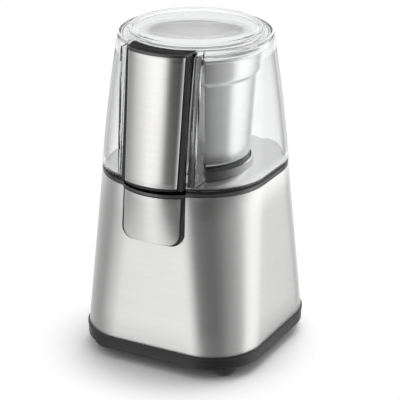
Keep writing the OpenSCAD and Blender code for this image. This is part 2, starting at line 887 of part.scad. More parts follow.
switch_top_z = switch_z + switch_height;
switch_y = bracket_front - switch_depth / 2;
switch_hole_x = 4.8;
switch_hole_height = 3;
switch_hole_z = switch_z + switch_hole_height;
switch_screw_radius = 1.1;
switch_head_radius = 2;
switch_head_height = 1.2;
terminal_spacing = 7;
terminal_half_width = 1.6;
terminal_half_thickness = 0.3;
terminal_length = 4;
ear_half_width = 1.4;
ear_half_thickness = 0.35;
ear_inset = 0.4;
ear_rise = 1.3;
pivot_lift = 1.2;
leaf_pivot_x = -switch_length / 2 + ear_half_width;
leaf_pivot_z = switch_top_z + pivot_lift;
leaf_arm = 13;
leaf_length = 17;
leaf_thickness = 0.5;
leaf_half_width = 2;
leaf_rise = 13.4;
leaf_pin_radius = 0.6;
plunger_foot_z = leaf_pivot_z + leaf_arm * tan(leaf_rise) + leaf_thickness + contact_gap;
plunger_foot_height = 2;
plunger_collar = 1.8;

module snap_switch() {
    color(black) difference() {
        union() {
            bar(-switch_length / 2, switch_length / 2, switch_y - switch_depth / 2,
                switch_y + switch_depth / 2 - seat_gap, switch_z, switch_top_z);
            for (i = [-1, 0, 1]) translate([i * terminal_spacing, switch_y, 0])
                bar(-terminal_half_width, terminal_half_width, -terminal_half_thickness,
                    terminal_half_thickness, switch_z - terminal_length, switch_z + over);
            both_ears();
        }
        for (x = [-1, 1]) translate([x * switch_hole_x, 0, switch_hole_z]) rotate([90, 0, 0])
            cylinder(h = cut_reach, r = switch_screw_radius + seat_gap);
        translate([leaf_pivot_x, 0, leaf_pivot_z]) rotate([90, 0, 0])
            cylinder(h = cut_reach, r = leaf_pin_radius + running_gap);
    }
}

// Two ears that hold the leaf's pivot pin
module both_ears() {
    for (s = [-1, 1]) {
        y = switch_y + s * (switch_depth / 2 - ear_inset);
        bar(leaf_pivot_x - ear_half_width, leaf_pivot_x + ear_half_width, y - ear_half_thickness,
            y + ear_half_thickness, switch_top_z - over, leaf_pivot_z + ear_rise);
    }
}

module switch_leaf() {
    color(steel) translate([leaf_pivot_x, switch_y, leaf_pivot_z]) {
        rotate([0, -leaf_rise, 0])
            bar(0, leaf_length, -leaf_half_width, leaf_half_width, 0, leaf_thickness);
        rotate([90, 0, 0]) cylinder(h = switch_depth - 2 * seat_gap, r = leaf_pin_radius, center = true);
    }
}

module switch_screws() {
    color(iron) for (x = [-1, 1]) translate([x * switch_hole_x, 0, switch_hole_z]) rotate([90, 0, 0]) {
        translate([0, 0, -(switch_y - switch_depth / 2)])
            cylinder(h = switch_head_height, r = switch_head_radius);
        translate([0, 0, -bracket_back]) cylinder(h = bracket_back - bracket_front + switch_depth,
            r = switch_screw_radius);
    }
}

module switch_plunger() {
    arm_back = switch_y + leaf_half_width;
    foot_x = leaf_pivot_x + leaf_arm;
    color(black) {
        plunger_position() {
            rod(plunger_head_z, lever_low_z - contact_gap, plunger_radius);
            rod(plunger_foot_z, plunger_head_z + over, plunger_rod_radius);
            rod(plunger_boss_z - plunger_collar - contact_gap, plunger_boss_z - contact_gap,
                plunger_radius);
        }
        bar(-plunger_rod_radius, foot_x, plunger_y, arm_back,
            plunger_foot_z, plunger_foot_z + plunger_foot_height);
    }
}

plunger_head = 6.5;
plunger_head_z = lever_low_z - contact_gap - plunger_head;
plunger_spring_turns = 5;
plunger_spring_radius = (plunger_rod_radius + plunger_radius) / 2 + 2 * seat_gap;

module plunger_spring() {
    color(iron) plunger_position()
        spring(plunger_web_z + seat_gap, plunger_head_z - seat_gap,
            plunger_spring_radius, spring_wire, plunger_spring_turns);
}

// ---------------------------------------------------------------- motor

// Gaps down the motor: housing, top bracket, core, winding, commutator, bottom bracket, fan
motor_drop = 10;
head_space = 9.6;
commutator_space = 1.6;
brush_space = 2.4;
fan_space = 2;
shaft_radius = motor_shaft_diameter / 2;
motor_top_z = socket_z - housing_wall - motor_drop;
bearing_radius = bearing_diameter / 2;
bracket_plate = 3;
top_bearing_z = motor_top_z - bearing_width;
core_top_z = top_bearing_z - head_space;
core_low_z = core_top_z - stator_height;
armature_radius = armature_diameter / 2;
winding_reach = 5.5;
winding_radius = 13.2;
commutator_top_z = core_low_z - winding_reach - commutator_space;
commutator_height = 11;
commutator_low_z = commutator_top_z - commutator_height;
commutator_radius = commutator_diameter / 2;
bottom_plate_top_z = commutator_low_z - brush_space;
bottom_bearing_z = bottom_plate_top_z - bearing_width;
fan_top_z = bottom_bearing_z - fan_space;
fan_height = 7;
fan_low_z = fan_top_z - fan_height;
fan_radius = fan_diameter / 2;
shaft_tail = 1;
shaft_rise = 1.5;
shaft_low_z = fan_low_z - shaft_tail;
shaft_top_z = socket_z - housing_wall + shaft_rise;
bolt_inset_x = 6;
bolt_inset_y = 4.5;
bolt_x = stator_x / 2 - bolt_inset_x;
bolt_y = stator_y / 2 - bolt_inset_y;
bolt_radius = 2;
bolt_head_radius = 3.4;
bolt_head_height = 1.6;
spacer_radius = 3.6;
arm_half = 3.6;
boss_arm_half = 3;
lug_radius = 5.4;
hub_wall = 2;
hub_radius = bearing_radius + hub_wall;
bearing_lip = 1.2;
grommet_height = 3;
grommet_top_z = motor_top_z + grommet_height;
grommet_radius = 4.4;
stator_corner = 5;
coil_inner_y = armature_radius + air_gap + slide_gap;
coil_outer_y = coil_inner_y + coil_thickness - free_gap;
coil_inner_x = winding_radius + free_gap;
coil_outer_x = coil_inner_x + coil_thickness;
coil_corner = 5;
coil_inner_corner = 1;

module stator_outline(grow) {
    rounded_rectangle(stator_x / 2 + grow, stator_y / 2 + grow, stator_corner + grow);
}

module stator_core() {
    color(iron) translate([0, 0, core_low_z]) linear_extrude(stator_height) difference() {
        stator_outline(0);
        circle(r = armature_radius + air_gap);
        for (x = [-1, 1], y = [-1, 1]) translate([x * (coil_inner_x + coil_outer_x) / 2,
            y * (coil_inner_y + coil_outer_y) / 2])
            square([coil_outer_x - coil_inner_x + slide_gap, coil_outer_y - coil_inner_y + slide_gap],
                center = true);
        for (x = [-1, 1], y = [-1, 1]) translate([x * bolt_x, y * bolt_y])
            circle(r = bolt_radius + seat_gap);
    }
}

// A field coil: a flat loop of wire that stands round one pole
module field_coil() {
    middle = (core_low_z + core_top_z) / 2;
    half_z = stator_height / 2;
    color(copper) translate([coil_inner_x, 0, middle]) rotate([90, 0, 90])
        linear_extrude(coil_outer_x - coil_inner_x) difference() {
            rounded_rectangle(coil_outer_y, half_z + coil_overhang, coil_corner);
            rounded_rectangle(coil_inner_y, half_z + 2 * slide_gap, coil_inner_corner);
        }
}

module field_coil_right() { field_coil(); }
module field_coil_left() { mirror([1, 0, 0]) field_coil(); }

// The plate of a motor bracket: a hub, an arm to each bolt and, at the top, one to each screw
module bracket_outline(boss_arms) {
    hub = hub_radius + seat_gap;
    bolt_angle = atan2(bolt_y, bolt_x);
    angles = [bolt_angle, 180 - bolt_angle, 180 + bolt_angle, -bolt_angle];
    circle(r = hub + slide_gap);
    for (a = angles) rotate(a) translate([bearing_radius + over, -arm_half])
        square([norm([bolt_x, bolt_y]) - bearing_radius - over, 2 * arm_half]);
    for (x = [-1, 1], y = [-1, 1]) translate([x * bolt_x, y * bolt_y]) circle(r = lug_radius);
    if (boss_arms) for (i = [0:3]) rotate(90 * i) {
        translate([bearing_radius + over, -boss_arm_half])
            square([motor_boss_reach - bearing_radius - over, 2 * boss_arm_half]);
        translate([motor_boss_reach, 0]) circle(r = motor_boss_radius + over);
    }
}

// A plate whose top is flush with its bearing, and the cup under it that holds the bearing
module motor_bracket(top, boss_arms) {
    plate_low = top - bracket_plate;
    bearing_low = top - bearing_width;
    seat = bearing_radius + seat_gap;
    translate([0, 0, plate_low]) linear_extrude(bracket_plate) difference() {
        bracket_outline(boss_arms);
        circle(r = seat);
        for (x = [-1, 1], y = [-1, 1]) translate([x * bolt_x, y * bolt_y])
            circle(r = bolt_radius + seat_gap);
        if (boss_arms) for (i = [0:3]) rotate(90 * i) translate([motor_boss_reach, 0])
            circle(r = screw_radius + slide_gap);
    }
    rotate_extrude() polygon([
        [seat, plate_low], [seat, bearing_low], [bearing_radius - bearing_lip, bearing_low],
        [bearing_radius - bearing_lip, bearing_low - bearing_lip], [hub_radius, bearing_low - bearing_lip],
        [hub_radius, plate_low]
    ]);
}

module motor_top_bracket() {
    color(alloy) {
        motor_bracket(motor_top_z, true);
        four_corners(bolt_x, bolt_y)
            ring(core_top_z + seat_gap, motor_top_z - bracket_plate, bolt_radius + seat_gap, spacer_radius);
    }
}

module motor_bottom_bracket() {
    color(alloy) {
        motor_bracket(bottom_plate_top_z, false);
        four_corners(bolt_x, bolt_y)
            ring(bottom_plate_top_z, core_low_z - seat_gap, bolt_radius + seat_gap, spacer_radius);
    }
}

nut_height = 3;
nut_radius = 3.8;

module motor_bolts() {
    bolt_low = bottom_plate_top_z - bracket_plate;
    color(iron) four_corners(bolt_x, bolt_y) {
        rod(bolt_low - nut_height - over, motor_top_z + over / 2, bolt_radius);
        translate([0, 0, bolt_low - nut_height]) cylinder(h = nut_height, r = nut_radius, $fn = 6);
        rod(motor_top_z, motor_top_z + bolt_head_height, bolt_head_radius);
    }
}

module motor_grommets() {
    color(rubber) motor_bosses()
        ring(motor_top_z, grommet_top_z, screw_radius + slide_gap, grommet_radius);
}

module motor_screws() {
    color(iron) motor_bosses() {
        rod(motor_top_z - bracket_plate - screw_head_height, motor_top_z - bracket_plate,
            screw_head_radius);
        rod(motor_top_z - bracket_plate - over, socket_z - 1, screw_radius);
    }
}

race_step = 0.8;
race_width = 1.6;

// A ball bearing seen as its two rings and the cage between them
module bearing(low) {
    color(steel) difference() {
        rod(low, low + bearing_width, bearing_radius);
        rod(low - over, low + bearing_width + over, shaft_radius + running_gap);
        for (z = [low - over, low + bearing_width - race_step])
            ring(z, z + race_step + over, shaft_radius + race_width, bearing_radius - race_width);
    }
}

module top_bearing() { bearing(top_bearing_z); }
module bottom_bearing() { bearing(bottom_bearing_z); }

brush_half_x = 2.6;
brush_half_z = 3.2;
brush_z = (commutator_low_z + commutator_top_z) / 2;
brush_reach = 14;
holder_wall = 1.2;
holder_start = 2;
holder_tail = 2;

module brush_holder() {
    x = brush_half_x + holder_wall;
    z = brush_half_z + holder_wall;
    y0 = commutator_radius + holder_start;
    y1 = commutator_radius + brush_reach + holder_tail;
    color(black) difference() {
        union() {
            bar(-x, x, y0, y1, brush_z - z, brush_z + z);
            bar(-x, x, y0, y1, bottom_plate_top_z + seat_gap, brush_z);
        }
        bar(-brush_half_x - seat_gap, brush_half_x + seat_gap, y0 - over, y1 - holder_wall,
            brush_z - brush_half_z - seat_gap, brush_z + brush_half_z + seat_gap);
        rod(bottom_bearing_z, bottom_plate_top_z + 2 * seat_gap, hub_radius);
    }
}

module carbon_brush() {
    color(carbon) difference() {
        bar(-brush_half_x, brush_half_x, 0, commutator_radius + brush_reach,
            brush_z - brush_half_z, brush_z + brush_half_z);
        rod(commutator_low_z, commutator_top_z, commutator_radius + contact_gap);
    }
}

module brush_holder_rear() { brush_holder(); }
module brush_holder_front() { rotate([0, 0, 180]) brush_holder(); }
module carbon_brush_rear() { carbon_brush(); }
module carbon_brush_front() { rotate([0, 0, 180]) carbon_brush(); }

module motor_shaft() {
    color(steel) rod(shaft_low_z, shaft_top_z, shaft_radius);
}

slot_width = 3;
slot_mouth = 1.6;
slot_depth = 5;
slot_overlap = 0.5;

module armature_core() {
    color(iron) translate([0, 0, core_low_z]) linear_extrude(stator_height) difference() {
        circle(r = armature_radius);
        circle(r = shaft_radius + seat_gap);
        for (i = [0:armature_slots - 1]) rotate(360 * i / armature_slots) {
            translate([winding_radius - slot_depth, -slot_width / 2])
                square([slot_depth + slot_overlap, slot_width]);
            translate([winding_radius, -slot_mouth / 2]) square([armature_radius, slot_mouth]);
        }
    }
}

module armature_windings() {
    color(copper) difference() {
        union() {
            winding_head(core_top_z + seat_gap, core_top_z + winding_reach);
            winding_head(core_low_z - winding_reach, core_low_z - seat_gap);
        }
        rod(core_low_z - 2 * winding_reach, core_top_z + 2 * winding_reach, shaft_radius + seat_gap);
    }
}

module winding_head(low, high) {
    edge = (high - low) / 3;
    translate([0, 0, low]) rotate_extrude() polygon([
        [0, 0], [winding_radius - edge, 0], [winding_radius, edge],
        [winding_radius, high - low - edge], [winding_radius - edge, high - low], [0, high - low]
    ]);
}

bar_gap = 0.5;
bar_depth = 0.8;
riser_height = 1.5;
riser_reach = 1;

module commutator() {
    color(copper) difference() {
        union() {
            rod(commutator_low_z, commutator_top_z, commutator_radius);
            rod(commutator_top_z - riser_height, commutator_top_z, commutator_radius + riser_reach);
        }
        rod(commutator_low_z - over, commutator_top_z + over, shaft_radius + seat_gap);
        for (i = [0:commutator_bars - 1]) rotate([0, 0, 360 * i / commutator_bars])
            bar(commutator_radius - bar_depth, commutator_radius + riser_reach + over, -bar_gap / 2,
                bar_gap / 2, commutator_low_z - over, commutator_top_z + over);
    }
}

fan_hub = 7;
fan_disc = 1.2;
fan_blade = 1.2;
fan_rake = 18;
fan_root = 0.6;

module cooling_fan() {
    color(nylon) difference() {
        union() {
            rod(fan_low_z, fan_top_z, fan_hub);
            rod(fan_top_z - fan_disc, fan_top_z, fan_radius);
            for (i = [0:fan_blades - 1]) rotate([0, 0, 360 * i / fan_blades])
                translate([fan_hub - fan_root, 0, fan_low_z]) rotate([0, 0, fan_rake])
                    cube([fan_radius - fan_hub - over, fan_blade, fan_top_z - fan_low_z]);
        }
        rod(fan_low_z - over, fan_top_z + over, shaft_radius + seat_gap);
    }
}

// ---------------------------------------------------------------- couplings

dog_inner = 4.4;
dog_rim = 0.5;
dog_play = 9;
dog_outer = coupling_radius - dog_rim;
dog_angle = 360 / dog_count / 2 - dog_play;
hub_step = 1;
hub_flange = 2;
drive_hub_z = shaft_top_z - dog_height;
mesh_gap = 0.3;
cup_hub_z = drive_hub_z + dog_height + mesh_gap;
cup_hub_height = 3;

// Sector-shaped teeth on the face of a coupling
module dogs(low, high, turn) {
    for (i = [0:dog_count - 1]) rotate([0, 0, 360 * i / dog_count + turn])
        translate([0, 0, low]) rotate_extrude(angle = dog_angle)
            translate([dog_inner, 0]) square([dog_outer - dog_inner, high - low]);
}

module drive_coupling() {
    color(black) difference() {
        union() {
            rod(motor_top_z + free_gap, drive_hub_z, coupling_radius - hub_step);
            rod(drive_hub_z - hub_flange, drive_hub_z, coupling_radius);
            dogs(drive_hub_z - over, drive_hub_z + dog_height, 0);
        }
        rod(motor_top_z, shaft_top_z + over, shaft_radius + seat_gap);
    }
}

module cup_coupling() {
    half_pitch = 180 / dog_count;
    color(black) difference() {
        union() {
            rod(cup_hub_z, cup_hub_z + cup_hub_height, coupling_radius);
            dogs(cup_hub_z - dog_height, cup_hub_z + over, half_pitch);
        }
        rod(cup_hub_z - dog_height - over, cup_hub_z + cup_hub_height + over,
            blade_shaft_radius + seat_gap);
    }
}

// ---------------------------------------------------------------- cup

blade_shaft_radius = blade_shaft_diameter / 2;
cup_floor_lift = 3.4;
cup_seat_z = socket_z + 2 * seat_gap;
cup_floor_z = deck_top_z + cup_floor_lift;
cup_top_z = lid_roof_z - cup_head_gap;
band_z = cup_top_z - cup_band;
rim_bead = cup_rim_radius - cup_radius + cup_wall / 2;
base_cavity = coupling_radius + coupling_space + slide_gap + seat_gap * 4;
bush_radius = 5.9;
bush_flange = 9;
bush_flange_height = 1.4;
base_web = 4.6;
base_chamfer = 2;
base_web_z = cup_floor_z - base_web;
step_height = 2;

module cup_shell() {
    slope_top = band_z - step_height;
    color(steel) rotate_extrude() {
        difference() {
            polygon([
                [bush_radius + seat_gap, cup_floor_z], [cup_foot_radius - cup_corner, cup_floor_z],
                [cup_foot_radius - cup_corner * (1 - cos(45)), cup_floor_z + cup_corner * (1 - cos(45))],
                [cup_foot_radius, cup_floor_z + cup_corner],
                [cup_step_radius, slope_top], [cup_radius, band_z],
                [cup_radius, cup_top_z - rim_bead],
                [cup_radius - cup_wall, cup_top_z - rim_bead],
                [cup_radius - cup_wall, band_z + cup_wall / 2],
                [cup_step_radius - cup_wall, slope_top + cup_wall / 2],
                [cup_foot_radius - cup_wall, cup_floor_z + cup_corner],
                [cup_foot_radius - cup_wall - (cup_corner - cup_wall) * (1 - cos(45)),
                    cup_floor_z + cup_wall + (cup_corner - cup_wall) * (1 - cos(45))],
                [cup_foot_radius - cup_corner, cup_floor_z + cup_wall],
                [bush_radius + seat_gap, cup_floor_z + cup_wall]
            ]);
        }
        translate([cup_rim_radius - rim_bead, cup_top_z - rim_bead]) circle(r = rim_bead);
    }
}

// Moulded skirt under the cup, hollow round the coupling
module cup_base() {
    skirt = cup_foot_radius - slide_gap;
    color(black) rotate_extrude() polygon([
        [bush_radius + seat_gap, base_web_z], [base_cavity, base_web_z],
        [base_cavity, cup_seat_z], [base_cavity + housing_wall, cup_seat_z],
        [base_cavity + housing_wall, base_web_z], [skirt - housing_wall, base_web_z],
        [skirt - housing_wall, cup_seat_z], [skirt, cup_seat_z],
        [skirt, cup_floor_z - seat_gap - base_chamfer], [skirt - base_chamfer, cup_floor_z - seat_gap],
        [bush_radius + seat_gap, cup_floor_z - seat_gap]
    ]);
}

bush_lift = 0.5;
nut_margin = 2.4;
bush_low_z = cup_hub_z + cup_hub_height + bush_lift;
nut_low_z = bush_low_z + slide_gap;
bush_flange_z = cup_floor_z + cup_wall;
bush_top_z = bush_flange_z + bush_flange_height;

module shaft_bush() {
    color(brass) difference() {
        union() {
            rod(bush_low_z, bush_top_z, bush_radius);
            rod(bush_flange_z + seat_gap / 5, bush_top_z, bush_flange);
        }
        rod(bush_low_z - over, bush_top_z + over, blade_shaft_radius + running_gap);
    }
}

module bush_nut() {
    color(iron) difference() {
        translate([0, 0, nut_low_z])
            cylinder(h = base_web_z - nut_low_z - seat_gap, r = base_cavity - nut_margin, $fn = 6);
        rod(bush_low_z - over, base_web_z + over, bush_radius + seat_gap);
    }
}

seal_height = 2;
seal_margin = 2;
seal_lip = 1.4;
seal_top_z = bush_top_z + seat_gap + seal_height;

module shaft_seal() {
    seal_radius = bush_flange - seal_margin;
    color(rubber) translate([0, 0, bush_top_z + seat_gap]) rotate_extrude() polygon([
        [blade_shaft_radius + contact_gap, 0], [seal_radius, 0],
        [seal_radius, seal_height / 2], [blade_shaft_radius + seal_lip, seal_height],
        [blade_shaft_radius + contact_gap, seal_height]
    ]);
}

// ---------------------------------------------------------------- blade

shoulder_z = seal_top_z + slide_gap;
shoulder_height = 2.6;
shoulder_reach = 2.2;
stud_step = 0.5;
stud_tail = 0.8;
blade_z = shoulder_z + shoulder_height;
stud_radius = blade_shaft_radius - stud_step;
nut_z = blade_z + 2 * blade_thickness + 2 * seat_gap;
blade_nut_height = 3.4;
blade_nut_radius = 5;
nut_dome = 4.2;
nut_dome_sink = 0.4;
blade_hub = 8;
// A blade's width at its bend and along its tip, as shares of its width at the hub
bend_share = 0.72;
tip_share = 0.6;
point_share = 0.1;
heel_share = 0.55;
bend_overlap = 0.4;
grind_angle = 24;

module blade_shaft() {
    color(steel) {
        rod(cup_hub_z - 4 * seat_gap, blade_z, blade_shaft_radius);
        rod(shoulder_z, blade_z - seat_gap, blade_shaft_radius + shoulder_reach);
        rod(blade_z - over, nut_z + blade_nut_height + stud_tail, stud_radius);
    }
}

// A pressed steel arm: flat from the hub, then bent up with a ground leading edge
module blade_arm(reach, bend_at, angle) {
    half = blade_width / 2;
    tip = reach - bend_at;
    linear_extrude(blade_thickness) polygon([
        [0, -half], [bend_at, -half * bend_share], [bend_at, half * bend_share], [0, half]
    ]);
    translate([bend_at, 0, 0]) rotate([0, -angle, 0]) difference() {
        translate([-bend_overlap, 0, 0]) linear_extrude(blade_thickness) polygon([
            [0, -half * bend_share], [tip / 2, -half * tip_share], [tip, half * point_share],
            [tip - bend_overlap - over, half * heel_share], [0, half * bend_share]
        ]);
        translate([0, -half * bend_share, blade_thickness]) rotate([grind_angle, 0, 0])
            translate([-over, -half, 0]) cube([tip + 2 * over, half, blade_thickness]);
    }
}

module blade(low, reach, bend_at, angle, turn) {
    color(steel) translate([0, 0, low]) rotate([0, 0, turn]) difference() {
        union() {
            cylinder(h = blade_thickness, r = blade_hub);
            for (i = [0, 180]) rotate([0, 0, i]) blade_arm(reach, bend_at, angle);
        }
        translate([0, 0, -over]) cylinder(h = blade_thickness + 2 * over, r = stud_radius + seat_gap);
    }
}

lower_bend = 19;
upper_bend = 13;
upper_reach = blade_radius - 7;
upper_turn = 90;

module lower_blade() { blade(blade_z, blade_radius, lower_bend, lower_tip_angle, 0); }
module upper_blade() {
    blade(blade_z + blade_thickness + seat_gap, upper_reach, upper_bend, upper_tip_angle, upper_turn);
}

module blade_nut() {
    color(steel) difference() {
        union() {
            translate([0, 0, nut_z]) cylinder(h = blade_nut_height, r = blade_nut_radius, $fn = 6);
            translate([0, 0, nut_z + blade_nut_height - nut_dome_sink]) intersection() {
                sphere(r = nut_dome);
                cylinder(h = nut_dome + over, r = nut_dome + over);
            }
        }
        rod(nut_z - over, nut_z + blade_nut_height + stud_tail + seat_gap, stud_radius + seat_gap);
    }
}

body_shell();
top_housing();
deck_plate();
switch_housing();
switch_cover();
base_tray();
foot_front_left();
foot_front_right();
foot_rear_left();
foot_rear_right();
base_screws();
cord_gland();
stator_core();
field_coil_left();
field_coil_right();
motor_top_bracket();
motor_bottom_bracket();
motor_bolts();
motor_grommets();
motor_screws();
top_bearing();
bottom_bearing();
brush_holder_front();
brush_holder_rear();
carbon_brush_front();
carbon_brush_rear();
snap_switch();
switch_screws();
switch_plunger();
plunger_spring();
switch_leaf();
motor_shaft();
armature_core();
armature_windings();
commutator();
cooling_fan();
drive_coupling();
cup_shell();
cup_base();
shaft_bush();
bush_nut();
shaft_seal();
blade_shaft();
lower_blade();
upper_blade();
blade_nut();
cup_coupling();
lid_shell();
lever_retainers();
lever_carrier();
lever_cover();
lever_cap_piece();
lever_springs();
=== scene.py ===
from math import acos, cos, pi, radians, sin, sqrt

import bmesh
import bpy
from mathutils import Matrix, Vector

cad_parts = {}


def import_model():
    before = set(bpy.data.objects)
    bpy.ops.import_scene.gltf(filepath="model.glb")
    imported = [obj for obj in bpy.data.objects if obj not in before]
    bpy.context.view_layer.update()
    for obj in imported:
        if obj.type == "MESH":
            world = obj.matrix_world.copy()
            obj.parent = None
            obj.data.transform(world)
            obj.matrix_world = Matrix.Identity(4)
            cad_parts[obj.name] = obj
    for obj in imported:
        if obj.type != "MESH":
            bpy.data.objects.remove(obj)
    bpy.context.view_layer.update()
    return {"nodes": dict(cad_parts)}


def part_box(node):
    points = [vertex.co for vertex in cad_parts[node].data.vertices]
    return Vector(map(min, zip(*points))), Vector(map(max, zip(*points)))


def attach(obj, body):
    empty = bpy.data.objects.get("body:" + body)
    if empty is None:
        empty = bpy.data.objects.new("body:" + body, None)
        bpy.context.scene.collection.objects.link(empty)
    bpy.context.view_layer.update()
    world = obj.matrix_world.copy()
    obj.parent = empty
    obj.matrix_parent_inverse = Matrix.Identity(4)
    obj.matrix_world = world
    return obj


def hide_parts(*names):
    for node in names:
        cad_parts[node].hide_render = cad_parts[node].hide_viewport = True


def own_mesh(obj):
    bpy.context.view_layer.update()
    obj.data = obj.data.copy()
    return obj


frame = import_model()

MM = 0.001
scene = bpy.context.scene


# ---------------------------------------------------------------- sizes in millimetres

# Steel body: half width and corner radius at its lower edge and at the joint
BODY_Z, JOINT_Z = 16.2, 123.0
BODY_BOTTOM, BODY_TOP = 62.2, 56.4
CORNER_BOTTOM, CORNER_TOP = 35.0, 43.0
# Thickness of the steel sheet, the turn of the body's edges and the rounding of the two covers
SHEET, SHEET_EDGE, COVER_BEVEL, LEVER_BEVEL = 0.8, 0.3, 0.22, 0.18
# Openings behind the tongue for the switch and, up through the top edge, for its plunger
WINDOW_HALF, WINDOW_LOW, WINDOW_HIGH = 14.0, 94.0, 119.0
PLUNGER_HALF, PLUNGER_HIGH, CUT_REACH = 5.0, 130.0, 70.0
# Hole for the cord's bush at the back
CORD_HOLE_RADIUS, CORD_HOLE_Z, CORD_HOLE_NEAR, CORD_HOLE_FAR = 5.95, 30.0, 40.0, 75.0

# Clear lid: half width at its flat rim, wall, bow of its sides and radius of its top edge
LID_Z, RIM_Z, DISC_Z = 127.0, 215.0, 218.0
LID_RIM, LID_WALL, LID_BOW, LID_EDGE = 50.0, 2.5, 0.6, 1.6
# Rounding of its lip, outside with a middle point and inside, and of the corner under its roof
LIP_ROUND, LIP_MIDDLE, LIP_BEVEL, ROOF_ROUND, ROOF_MIDDLE = 0.5, 0.15, 0.3, 1.6, 0.5
# The raised disc, its edges, and the collar under it
DISC_RADIUS, DISC_EDGE, DISC_FOOT, DISC_FLAT = 43.0, 1.0, 0.6, 20.0
UNDER_EDGE, COLLAR_DROP, COLLAR_EDGE, LID_HUB = 0.8, 6.5, 0.4, 0.02
# The lever's channel inside the lid, and the slot in front of it
CHANNEL_INNER, CHANNEL_OUTER, CHANNEL_HALF, POCKET_HALF = 43.7, 45.3, 27.0, 25.4
CHANNEL_LOW, CHANNEL_TOP_DROP, CHANNEL_SINK, CHANNEL_TURN = 129.4, 2.0, 1.2, 0.2
SLOT_HALF, SLOT_OVER, SLOT_FRONT = 22.4, 2.0, 75.0

# The lever's black body: front, crown, half width of the cover's seat, and depth of the cover's side edges
LEVER_FRONT_JOINT, LEVER_FRONT_RIM = -66.6, -54.4
LEVER_LOW_CROWN, LEVER_CROWN = 5.8, 3.0
COVER_LOW_HALF, COVER_TOP_HALF, COVER_FLANGE = 18.4, 20.3, 1.4
# The lever's steel cover: front and crown at the joint and at the rim, and the bend along its sides
SKIN_FRONT_JOINT, SKIN_FRONT_RIM = -66.4, -56.6
SKIN_LOW_CROWN, SKIN_CROWN = 4.4, 4.9
SKIN_WIDEN, LEVER_BEND = 0.4, 2.4
LEVER_SKIN_LOW, LEVER_SKIN_TOP = 129.8, 212.8
# The cap: half width, radius of its hollow back, its rounded edge, and its gaps to the cover and the black
# body. Its top is where the normal's z is more than FACING_UP; the top is painted darker than the front,
# as painted shade, and the front lighter, as painted light.
LEVER_HALF, LEVER_BACK, CAP_EDGE = 22.0, 45.7, 0.7
CAP_GAP, CAP_SHOULDER_GAP, FACING_UP = 0.05, 0.03, 0.85

# The tongue under the lever and its steel cover
TONGUE_LOW, COVER_TOP = 90.0, 122.4
TONGUE_HALF, COVER_HALF, TONGUE_CORNER, TONGUE_MARGIN = 22.2, 20.2, 8.0, 1.0
TONGUE_FRONT, TONGUE_LOW_FRONT = -64.4, -63.9
TONGUE_CROWN, TONGUE_LOW_CROWN = 7.4, 3.3

# Cup: foot, step under the upper band, band, rolled rim and the bush's hole
CUP_FLOOR, CUP_TOP, CUP_BAND_Z, CUP_SLOPE = 132.4, 208.4, 191.4, 2.0
CUP_RADIUS, CUP_STEP, CUP_FOOT, CUP_CORNER = 42.0, 39.6, 36.2, 4.0
CUP_RIM, CUP_WALL, BUSH_RADIUS = 43.3, 0.9, 5.95
# Soft corners of its step, as offsets out and up from the sharp ones, and gaps under the rolled rim
OUTER_STEP, OUTER_BAND = ((0.0, -0.6), (0.5, -0.1)), ((-0.35, -0.1), (0.0, 0.6))
INNER_STEP, INNER_BAND, INNER_RISE = ((0.3, 0.2), (0.0, -0.6)), ((0.0, 0.9), (-0.4, 0.2)), 0.5
NECK_OUTER, NECK_INNER = 0.5, 0.3

# Return springs, and how far the lever presses them
PRESS_TRAVEL, SPRING_WIRE = 2.8, 0.5


def mix(a, b, share):
    return a + (b - a) * share


def body_share(z):
    return (z - BODY_Z) / (JOINT_Z - BODY_Z)


def body_half(z):
    return mix(BODY_BOTTOM, BODY_TOP, body_share(z))


def body_corner(z):
    return mix(CORNER_BOTTOM, CORNER_TOP, body_share(z))


def lid_share(z):
    return (z - LID_Z) / (RIM_Z - LID_Z)


def lid_half(z):
    s = lid_share(z)
    return mix(BODY_TOP, LID_RIM, s) + 4 * LID_BOW * s * (1 - s)


def lid_corner(z):
    return mix(CORNER_TOP, LID_RIM - 0.05, lid_share(z))


# ---------------------------------------------------------------- meshes

def square_ring(half, corner, z, steps=24, flat_steps=4):
    """Points of a rounded square, anticlockwise seen from above."""
    corner = min(corner, half - 0.001)
    flat = half - corner
    corners = ((1, 1), (-1, 1), (-1, -1), (1, -1))

    def on_arc(k, a):
        sx, sy = corners[k % 4]
        return sx * flat + corner * cos(a), sy * flat + corner * sin(a)

    points = []
    for k in range(4):
        points += [(*on_arc(k, (k + i / steps) * pi / 2), z) for i in range(steps + 1)]
        end, start = points[-1], on_arc(k + 1, (k + 1) * pi / 2)
        points += [(mix(end[0], start[0], j / flat_steps), mix(end[1], start[1], j / flat_steps), z)
                   for j in range(1, flat_steps)]
    return points


def circle_ring(radius, z, steps=128):
    return [(radius * cos(2 * pi * i / steps), radius * sin(2 * pi * i / steps), z) for i in range(steps)]


def loft_faces(rings, loop=False, caps=True):
    """Vertices and faces of a skin through rings with equal counts; loop joins the last to the first."""
    n = len(rings[0])
    verts = [p for ring in rings for p in ring]
    faces = []
    count = len(rings)
    for k in range(count if loop else count - 1):
        a, b = k * n, ((k + 1) % count) * n
        for i in range(n):
            j = (i + 1) % n
            faces.append((a + i, a + j, b + j, b + i))
    if caps and not loop:
        faces.append(tuple(reversed(range(n))))
        faces.append(tuple(range((count - 1) * n, count * n)))
    return verts, faces


def mesh_object(name, verts, faces, sharp=35.0):
    mesh = bpy.data.meshes.new(name)
    mesh.from_pydata([(x * MM, y * MM, z * MM) for x, y, z in verts], [], faces)
    mesh.validate()
    mesh.update()
    obj = bpy.data.objects.new(name, mesh)
    scene.collection.objects.link(obj)
    outward(obj)
    smooth(obj, sharp)
    return obj


def outward(obj):
    bm = bmesh.new()
    bm.from_mesh(obj.data)
    bmesh.ops.recalc_face_normals(bm, faces=bm.faces)
    bm.to_mesh(obj.data)
    bm.free()


